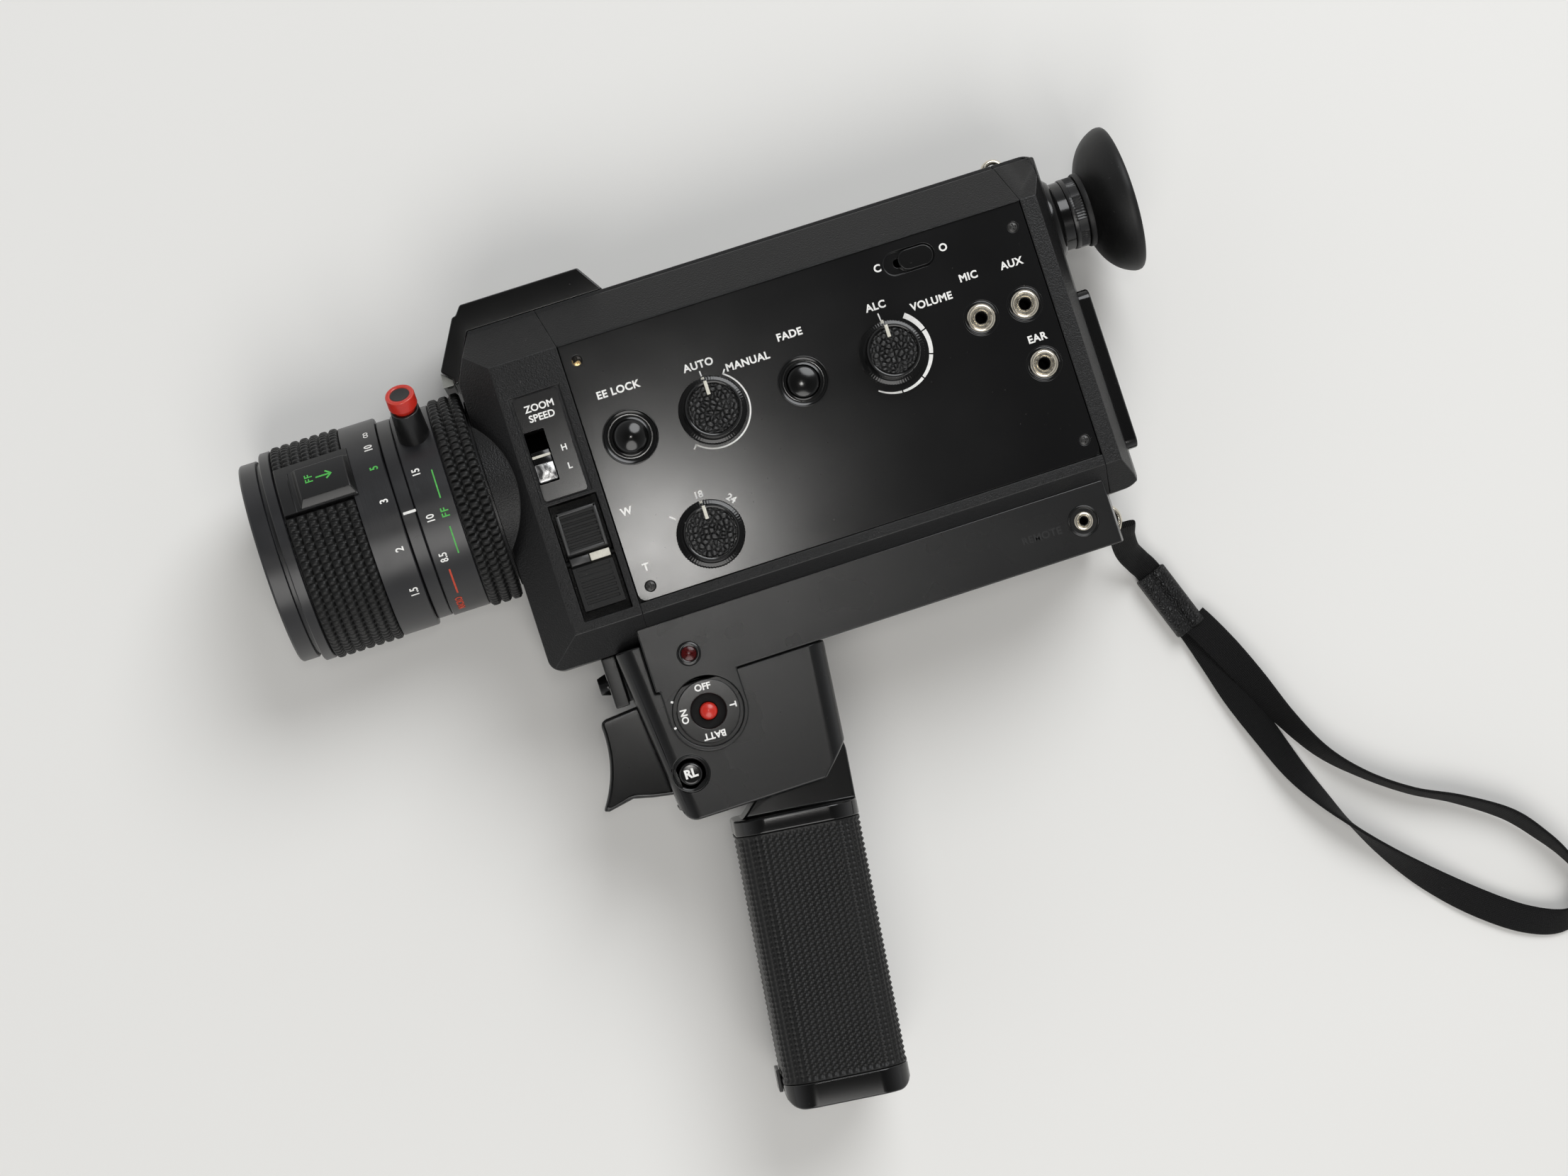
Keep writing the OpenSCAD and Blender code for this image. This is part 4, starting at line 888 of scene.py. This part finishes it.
# ---------------------------------------------------------------------------------------------
# Grip: a plastic frame with a neck, a rubber sleeve moulded all over in small pyramids, and a
# cover for the battery chamber at its end.
softened("grip_core", "grip_frame", "grip", gloss_black, 0.7)
softened("battery_cover", "battery_chamber_cover", "battery_door", gloss_black, 0.6)
softened("battery_latch", "battery_cover_latch", "battery_catch", satin_black, 0.2)

lean = math.radians(7)
grip_at = np.array([53.3, -118.4])
grip_across = np.array([math.cos(lean), -math.sin(lean)])
grip_up = np.array([math.sin(lean), math.cos(lean)])

sleeve_steps, sleeve_rows = 71 * 5, 46 * 4
edge, out, s, girth = round_outline(36.2, 42.0, 9.0, sleeve_steps)
v = np.linspace(0.0, -71.6, sleeve_rows + 1)[:, None]
round_share = s / girth * 71
front_face = np.clip((-out[:, 0] - 0.92) / 0.05, 0, 1)
smooth_band = np.clip(1 - np.abs(-out[:, 0] - 0.72) / 0.12, 0, 1) * (out[:, 1] > 0)
across_grip = pillow(round_share, 0.9, 0.1)[None, :] * (1 - front_face) + 0.8 * front_face
along_grip = pillow(v / -71.6 * 46, 0.9, 0.1)
height = 0.62 * across_grip * along_grip * (1 - 0.85 * smooth_band)
height = np.where((v > -0.4) | (v < -71.2), 0.55, height)
sink = 0.62 - height
rim_x, rim_z = edge[:, 0] - out[:, 0] * sink, edge[:, 1] - out[:, 1] * sink
inner_edge = round_outline(32.8, 38.6, 7.3, sleeve_steps)[0]
u = np.vstack([np.broadcast_to(inner_edge[:, 0], (1, sleeve_steps)), rim_x,
               np.broadcast_to(inner_edge[:, 0], (1, sleeve_steps))])
w = np.vstack([np.broadcast_to(inner_edge[:, 1], (1, sleeve_steps)), rim_z,
               np.broadcast_to(inner_edge[:, 1], (1, sleeve_steps))])
v = np.vstack([v[:1], v, v[-1:]])
sleeve = np.stack([grip_at[0] + u * grip_across[0] + v * grip_up[0],
                   grip_at[1] + u * grip_across[1] + v * grip_up[1],
                   32 + w], -1)
fit(shell("grip_sleeve_rubber", sleeve, True, 60.0), "grip", black_rubber,
    ["grip_sleeve"])

# ---------------------------------------------------------------------------------------------
# Right side: the film door and its sliding latch.
softened("film_door", "film_door_skin", "door", casting_paint, 0.4)
softened("door_latch", "door_latch_slide", "latch", gloss_black, 0.3)

# ---------------------------------------------------------------------------------------------
# Metal fittings and works inside: lugs, pins, gate, motors, shutter, pinion, board, cells.
steel = Finish("brushed steel", Metallic=1.0)
brush = steel.add("TexNoise", {},
                  {"Vector": steel.add("Mapping", {},
                                       {"Vector": steel.place(), "Scale": (200.0, 4000.0, 4000.0)}),
                   "Scale": 1.0, "Detail": 3.0})
steel.feed(Base_Color=steel.stir(brush, (0.42, 0.42, 0.41, 1), (0.62, 0.62, 0.6, 1)),
           Roughness=brush * 0.25 + 0.2,
           Normal=steel.relief(brush, 0.00001))
laminate = Finish("green laminate", Specular_IOR_Level=0.5)
tracks = laminate.add("TexBrick", {}, {"Vector": laminate.place(), "Scale": 260.0})
laminate.feed(Base_Color=laminate.stir(tracks, (0.01, 0.07, 0.025, 1), (0.03, 0.16, 0.06, 1)),
              Roughness=tracks * 0.2 + 0.3)
cell_jacket = Finish("printed cell jacket", Specular_IOR_Level=0.5)
bands = (cell_jacket.add("SeparateXYZ", {}, {0: cell_jacket.place()},
                         1) * 90.0).sine().ramp(-0.1, 0.1)
cell_jacket.feed(Base_Color=cell_jacket.stir(bands, (0.03, 0.03, 0.035, 1), (0.5, 0.38, 0.12, 1)),
                 Roughness=bands * 0.1 + 0.25)
softened("strap_lugs", "strap_lug_wire", "camera", polished, 0.1, angle=50)
softened("hinge_pins", "hinge_pin_set", "camera", steel, 0.1)
softened("tripod_bush", "tripod_thread_bush", "camera", brass, 0.15)
softened("film_gate", "film_gate_plate", "camera", steel, 0.1)
softened("motors", "motor_cans", "camera", steel, 0.2)
softened("circuit_board", "circuit_board_parts", "camera", laminate, 0.1)
softened("finder_tube", "finder_tube_turned", "camera", anodised, 0.1)
softened("batteries", "dry_cells", "grip", cell_jacket, 0.4)
softened("shutter_disc", "shutter_blade_and_gear", "shutter", steel, 0.05)
softened("drive_pinion", "brass_pinion", "pinion", brass, 0.05)

# ---------------------------------------------------------------------------------------------
# Printing: screen-printed names of the controls and engraved, colour-filled scales on the lens.


def on_plane(at, z, turn=0.0):
    """Places print flat on a face: along and up turned about the point, with its thickness outwards."""
    c, s = math.cos(math.radians(turn)), math.sin(math.radians(turn))
    return lambda u, v, w: np.stack([at[0] + u * c - v * s, at[1] + u * s + v * c, z + w], -1)


def on_ring(x, angle, radius):
    """Wraps print round the lens: along goes round, up goes to the front, thickness goes outwards."""
    def wrap(u, v, w):
        turn = math.radians(angle) + u / radius
        return np.stack([x - v, (radius + w) * np.sin(turn), lens_axis[1] + (radius + w) * np.cos(turn)], -1)
    return wrap


def word(text, size, place, bold=0.035, spread=1.0, stretch=1.0):
    """Outline of a word of that letter size, as points and faces."""
    curve = bpy.data.curves.new("word", "FONT")
    curve.body, curve.size, curve.align_x, curve.align_y = text, size / 0.7, "CENTER", "CENTER"
    curve.offset, curve.extrude = bold * size, 0.035
    curve.space_character, curve.resolution_u = spread, 4
    holder = bpy.data.objects.new("word", curve)
    bpy.context.scene.collection.objects.link(holder)
    bpy.context.view_layer.update()
    flat = bpy.data.meshes.new_from_object(holder)
    work = bmesh.new()
    work.from_mesh(flat)
    bmesh.ops.remove_doubles(work, verts=work.verts, dist=1e-4)
    points = np.array([v.co for v in work.verts])
    faces = [[v.index for v in f.verts] for f in work.faces]
    work.free()
    bpy.data.objects.remove(holder)
    return place(points[:, 0] * stretch, points[:, 1], points[:, 2] + 0.05), faces


def stroke(path, width, place, steps=1):
    """Line of the given width along a path of (along, up), as a thin closed slab."""
    path = np.asarray(path, float)
    if steps > 1:
        t = np.linspace(0, len(path) - 1, (len(path) - 1) * steps + 1)
        path = np.stack([np.interp(t, range(len(path)), path[:, i]) for i in (0, 1)], -1)
    ahead = unit(np.gradient(path, axis=0))
    half = np.stack([-ahead[:, 1], ahead[:, 0]],
                    -1) * np.broadcast_to(width, (len(path),))[:, None] / 2
    u = np.stack([path[:, 0] - half[:, 0], path[:, 0] + half[:, 0]] * 2, -1)[:, [0, 1, 3, 2]]
    v = np.stack([path[:, 1] - half[:, 1], path[:, 1] + half[:, 1]] * 2, -1)[:, [0, 1, 3, 2]]
    w = np.broadcast_to([0.0, 0.0, 0.05, 0.05], u.shape)
    points = place(u, v, w).reshape(-1, 3)
    last = 4 * (len(path) - 1)
    return points, grid_faces(len(path), 4, False).tolist() + [[0, 1, 2, 3],
                                                               [last, last + 1, last + 2, last + 3]]


def printed(name, marks, body, finish):
    """One piece from the marks of one colour on one body."""
    corners, faces, start = [], [], 0
    for points, sides in marks:
        corners.append(points)
        faces += [[start + k for k in side] for side in sides]
        start += len(points)
    mesh = bpy.data.meshes.new(name)
    mesh.from_pydata(row(np.concatenate(corners)).tolist(), [], faces)
    work = bmesh.new()
    work.from_mesh(mesh)
    bmesh.ops.recalc_face_normals(work, faces=work.faces)
    work.to_mesh(mesh)
    work.free()
    return fit(bpy.data.objects.new(name, mesh), body, finish)


def ink(name, colour, dim):
    """Print colour, a little patchy where it has worn."""
    paint = Finish(name, Specular_IOR_Level=0.4)
    patch = paint.noise(0.0009, 3.0)
    paint.feed(Base_Color=paint.stir(patch.ramp(0.3, 0.75), tuple(colour) + (1,),
                                     tuple(dim) + (1,)), Roughness=patch * 0.2 + 0.45)
    return paint


white_ink = ink("white print", (0.9, 0.895, 0.87), (0.78, 0.77, 0.74))
green_ink = ink("green print", (0.09, 0.5, 0.09), (0.06, 0.36, 0.06))
red_ink = ink("red print", (0.62, 0.07, 0.03), (0.5, 0.05, 0.02))
black_ink = ink("raised black letters", (0.006, 0.006, 0.006), (0.012, 0.012, 0.012))


def arc(at, radius, start, end, steps=60):
    t = np.radians(np.linspace(start, end, steps))
    return np.stack([at[0] + radius * np.cos(t), at[1] + radius * np.sin(t)], -1)


def polar(at, radius, angle):
    """Point at a radius from another, at an angle in degrees."""
    t = math.radians(angle)
    return at[0] + radius * math.cos(t), at[1] + radius * math.sin(t)


on_plate = on_plane((0.0, 0.0), plate_z)
plate_words = [word(text, 2.1, on_plane(at, plate_z), 0.045, 1.08) for text, at in [
    ("EE LOCK", (42.3, 15.1)), ("AUTO", (66.0, 14.9)), ("MANUAL", (79.6, 11.6)),
    ("FADE", (93.2, 15.3)), ("ALC", (119.0, 15.5)), ("VOLUME", (134.6, 12.0)),
    ("MIC", (146.8, 15.6)), ("AUX", (159.7, 15.4)), ("EAR", (160.1, -7.0)), ("C", (122.8, 25.5)),
    ("O", (142.5, 25.6)), ("W", (34.0, -18.3)), ("T", (34.4, -34.9))]]
for text, angle in [("18", 90), ("24", 42), ("1", 140)]:
    place = on_plane(polar(frame_rate_at, 11.5, angle), plate_z, angle - 90)
    plate_words.append(word(text, 1.9, place, 0.045))
plate_words += [stroke([(65.8, 13.2), (65.9, 11.6)], 0.4, on_plate),
                stroke([(119.0, 13.4), (119.2, 11.0)], 0.4, on_plate),
                stroke(arc(exposure_at, 10.75, 56, -133), 0.45, on_plate)]
for angle in (56, -133):
    tick = arc(exposure_at, 10.6, angle, angle, 2)
    tick[1] += polar((0.0, 0.0), 1.6, angle)
    plate_words.append(stroke(tick, 0.45, on_plate))
for k in range(5):
    start, end = 54 - k * 36.6, 54 - (k + 1) * 36.6 + 2.0
    wide = np.linspace(1.6 - 0.24 * k, 1.36 - 0.24 * k, 24)
    plate_words.append(stroke(arc(volume_at, 11.3, start, end, 24), wide, on_plate))
printed("plate_print", plate_words, "camera", white_ink)
switch_words = [word(text, size, on_plane(at, 62.1)) for text, size, at in [
    ("ZOOM", 1.95, (19.8, 17.4)), ("SPEED", 1.95, (19.7, 14.5)), ("H", 1.7, (22.9, 4.3)),
    ("L", 1.7, (22.9, -1.1))]]
printed("switch_print", switch_words, "camera", white_ink)
remote_word = word("REMOTE", 2.1, on_plane((144.3, -61.0), 58.04), 0.05, 1.05)
printed("remote_letters", [remote_word], "camera", black_ink)
run_lock_word = word("RL", 2.4, on_plane(run_lock_at, 57.66), 0.06)
printed("run_lock_print", [run_lock_word], "run_lock", white_ink)
dial_words = []
for text, angle, radius in [("OFF", 87, 6.9), ("T", -3, 7.0), ("BATT", 267, 6.9), ("ON", 176, 6.9)]:
    place = on_plane(polar(dial_at, radius, angle), 59.2, angle - 90)
    dial_words.append(word(text, 1.85, place, 0.045))
printed("dial_print", dial_words, "dial", white_ink)
dots = []
for angle in (149, 190):
    centre = polar(dial_at, 10.6, angle)
    dots.append(stroke([polar(centre, -0.35, angle), polar(centre, 0.35, angle)], 0.6,
                       on_plane((0.0, 0.0), 58.0)))
printed("dial_index_print", dots, "camera", white_ink)
for name, at, low, high, body in [("exposure_pointer", exposure_at, 4.0, 8.0, "exposure"),
                                  ("volume_pointer", volume_at, 4.0, 7.6, "volume"),
                                  ("frame_rate_pointer", frame_rate_at, 4.0, 7.9, "frame_rate")]:
    bar(name, (at[0] - 0.5, at[1] + low, plate_z + 7.2), (at[0] + 0.5, at[1] + high, plate_z + 8.0),
        body, cream_plastic, 0.12)
    bar(name + "_foot", (at[0] - 0.45, at[1] + high + 0.3, plate_z + 1.4),
        (at[0] + 0.45, at[1] + 9.6, plate_z + 2.12), body,
        cream_plastic, 0.1)

focus_words = [word(text, 2.3, on_ring(-29.6, angle, 31.25), 0.03, stretch=0.85) for text, angle in
               [("10", 43), ("3", 9.6), ("2", -16.6), ("1.5", -42.8)]]
lobe = np.linspace(0, 2 * np.pi, 24)
for side in (-0.66, 0.66):
    focus_words.append(stroke(np.stack([side + 0.62 * np.cos(lobe), 0.58 * np.sin(lobe)], -1), 0.3,
                              on_ring(-29.6, 55, 31.25)))
printed("focus_scale", focus_words, "focus", white_ink)
printed("focus_scale_green", [word("5", 2.3, on_ring(-29.6, 29, 31.25), 0.03, stretch=0.85)],
        "focus", green_ink)
printed("index_line", [stroke([(0, 0.0), (0, 3.8)], 0.75, on_ring(-21.9, 0.4, 29.7), 3)], "camera",
        white_ink)
printed("index_bracket",
        [stroke([(-1.2, 3.4), (-0.4, 2.6), (0, 1.8), (-0.4, 1.0), (-1.2, 0.4)], 0.3,
                on_ring(-22.3, -13.5, 29.7), 3)], "camera", grey_plastic)
printed("zoom_scale",
        [word(text, 2.2, on_ring(-18.7, angle, 30.15), 0.03, stretch=0.8) for text, angle in
                       [("15", 20), ("10", -6.4), ("8.5", -29)]], "zoom", white_ink)


def ring_line(x, start, end, width=0.4, radius=30.15):
    """Line round the lens between two angles."""
    half = math.radians(start - end) / 2 * radius
    return stroke([(-half, 0.0), (half, 0.0)], width, on_ring(x, (start + end) / 2, radius), 12)


printed("zoom_scale_green", [ring_line(-14.4, 18.9, 2.5), ring_line(-14.4, -13.4, -29.2),
                             word("FF", 2.2, on_ring(-14.3, -5.5, 30.15), 0.02, 1.15, 0.9)], "zoom",
        green_ink)
printed("zoom_scale_red",
        [ring_line(-18.4, -37.1, -55.8, 0.5),
         word("MACRO", 2.0, on_ring(-18.7, -67.5, 30.15), 0.03, stretch=0.8)],
        "zoom", red_ink)
key_face = 33.56
printed("key_print", [word("FF", 2.2, on_ring(-47.8, 32, key_face), 0.02, 1.15, 0.9),
                      stroke([(0, 0), (0, -4.4)], 0.5, on_ring(-45.9, 31.5, key_face), 3),
                      stroke([(-1.3, -2.9), (0, -4.5), (1.3, -2.9)], 0.5,
                             on_ring(-45.9, 31.5, key_face), 3)],
        "infinity_key", green_ink)
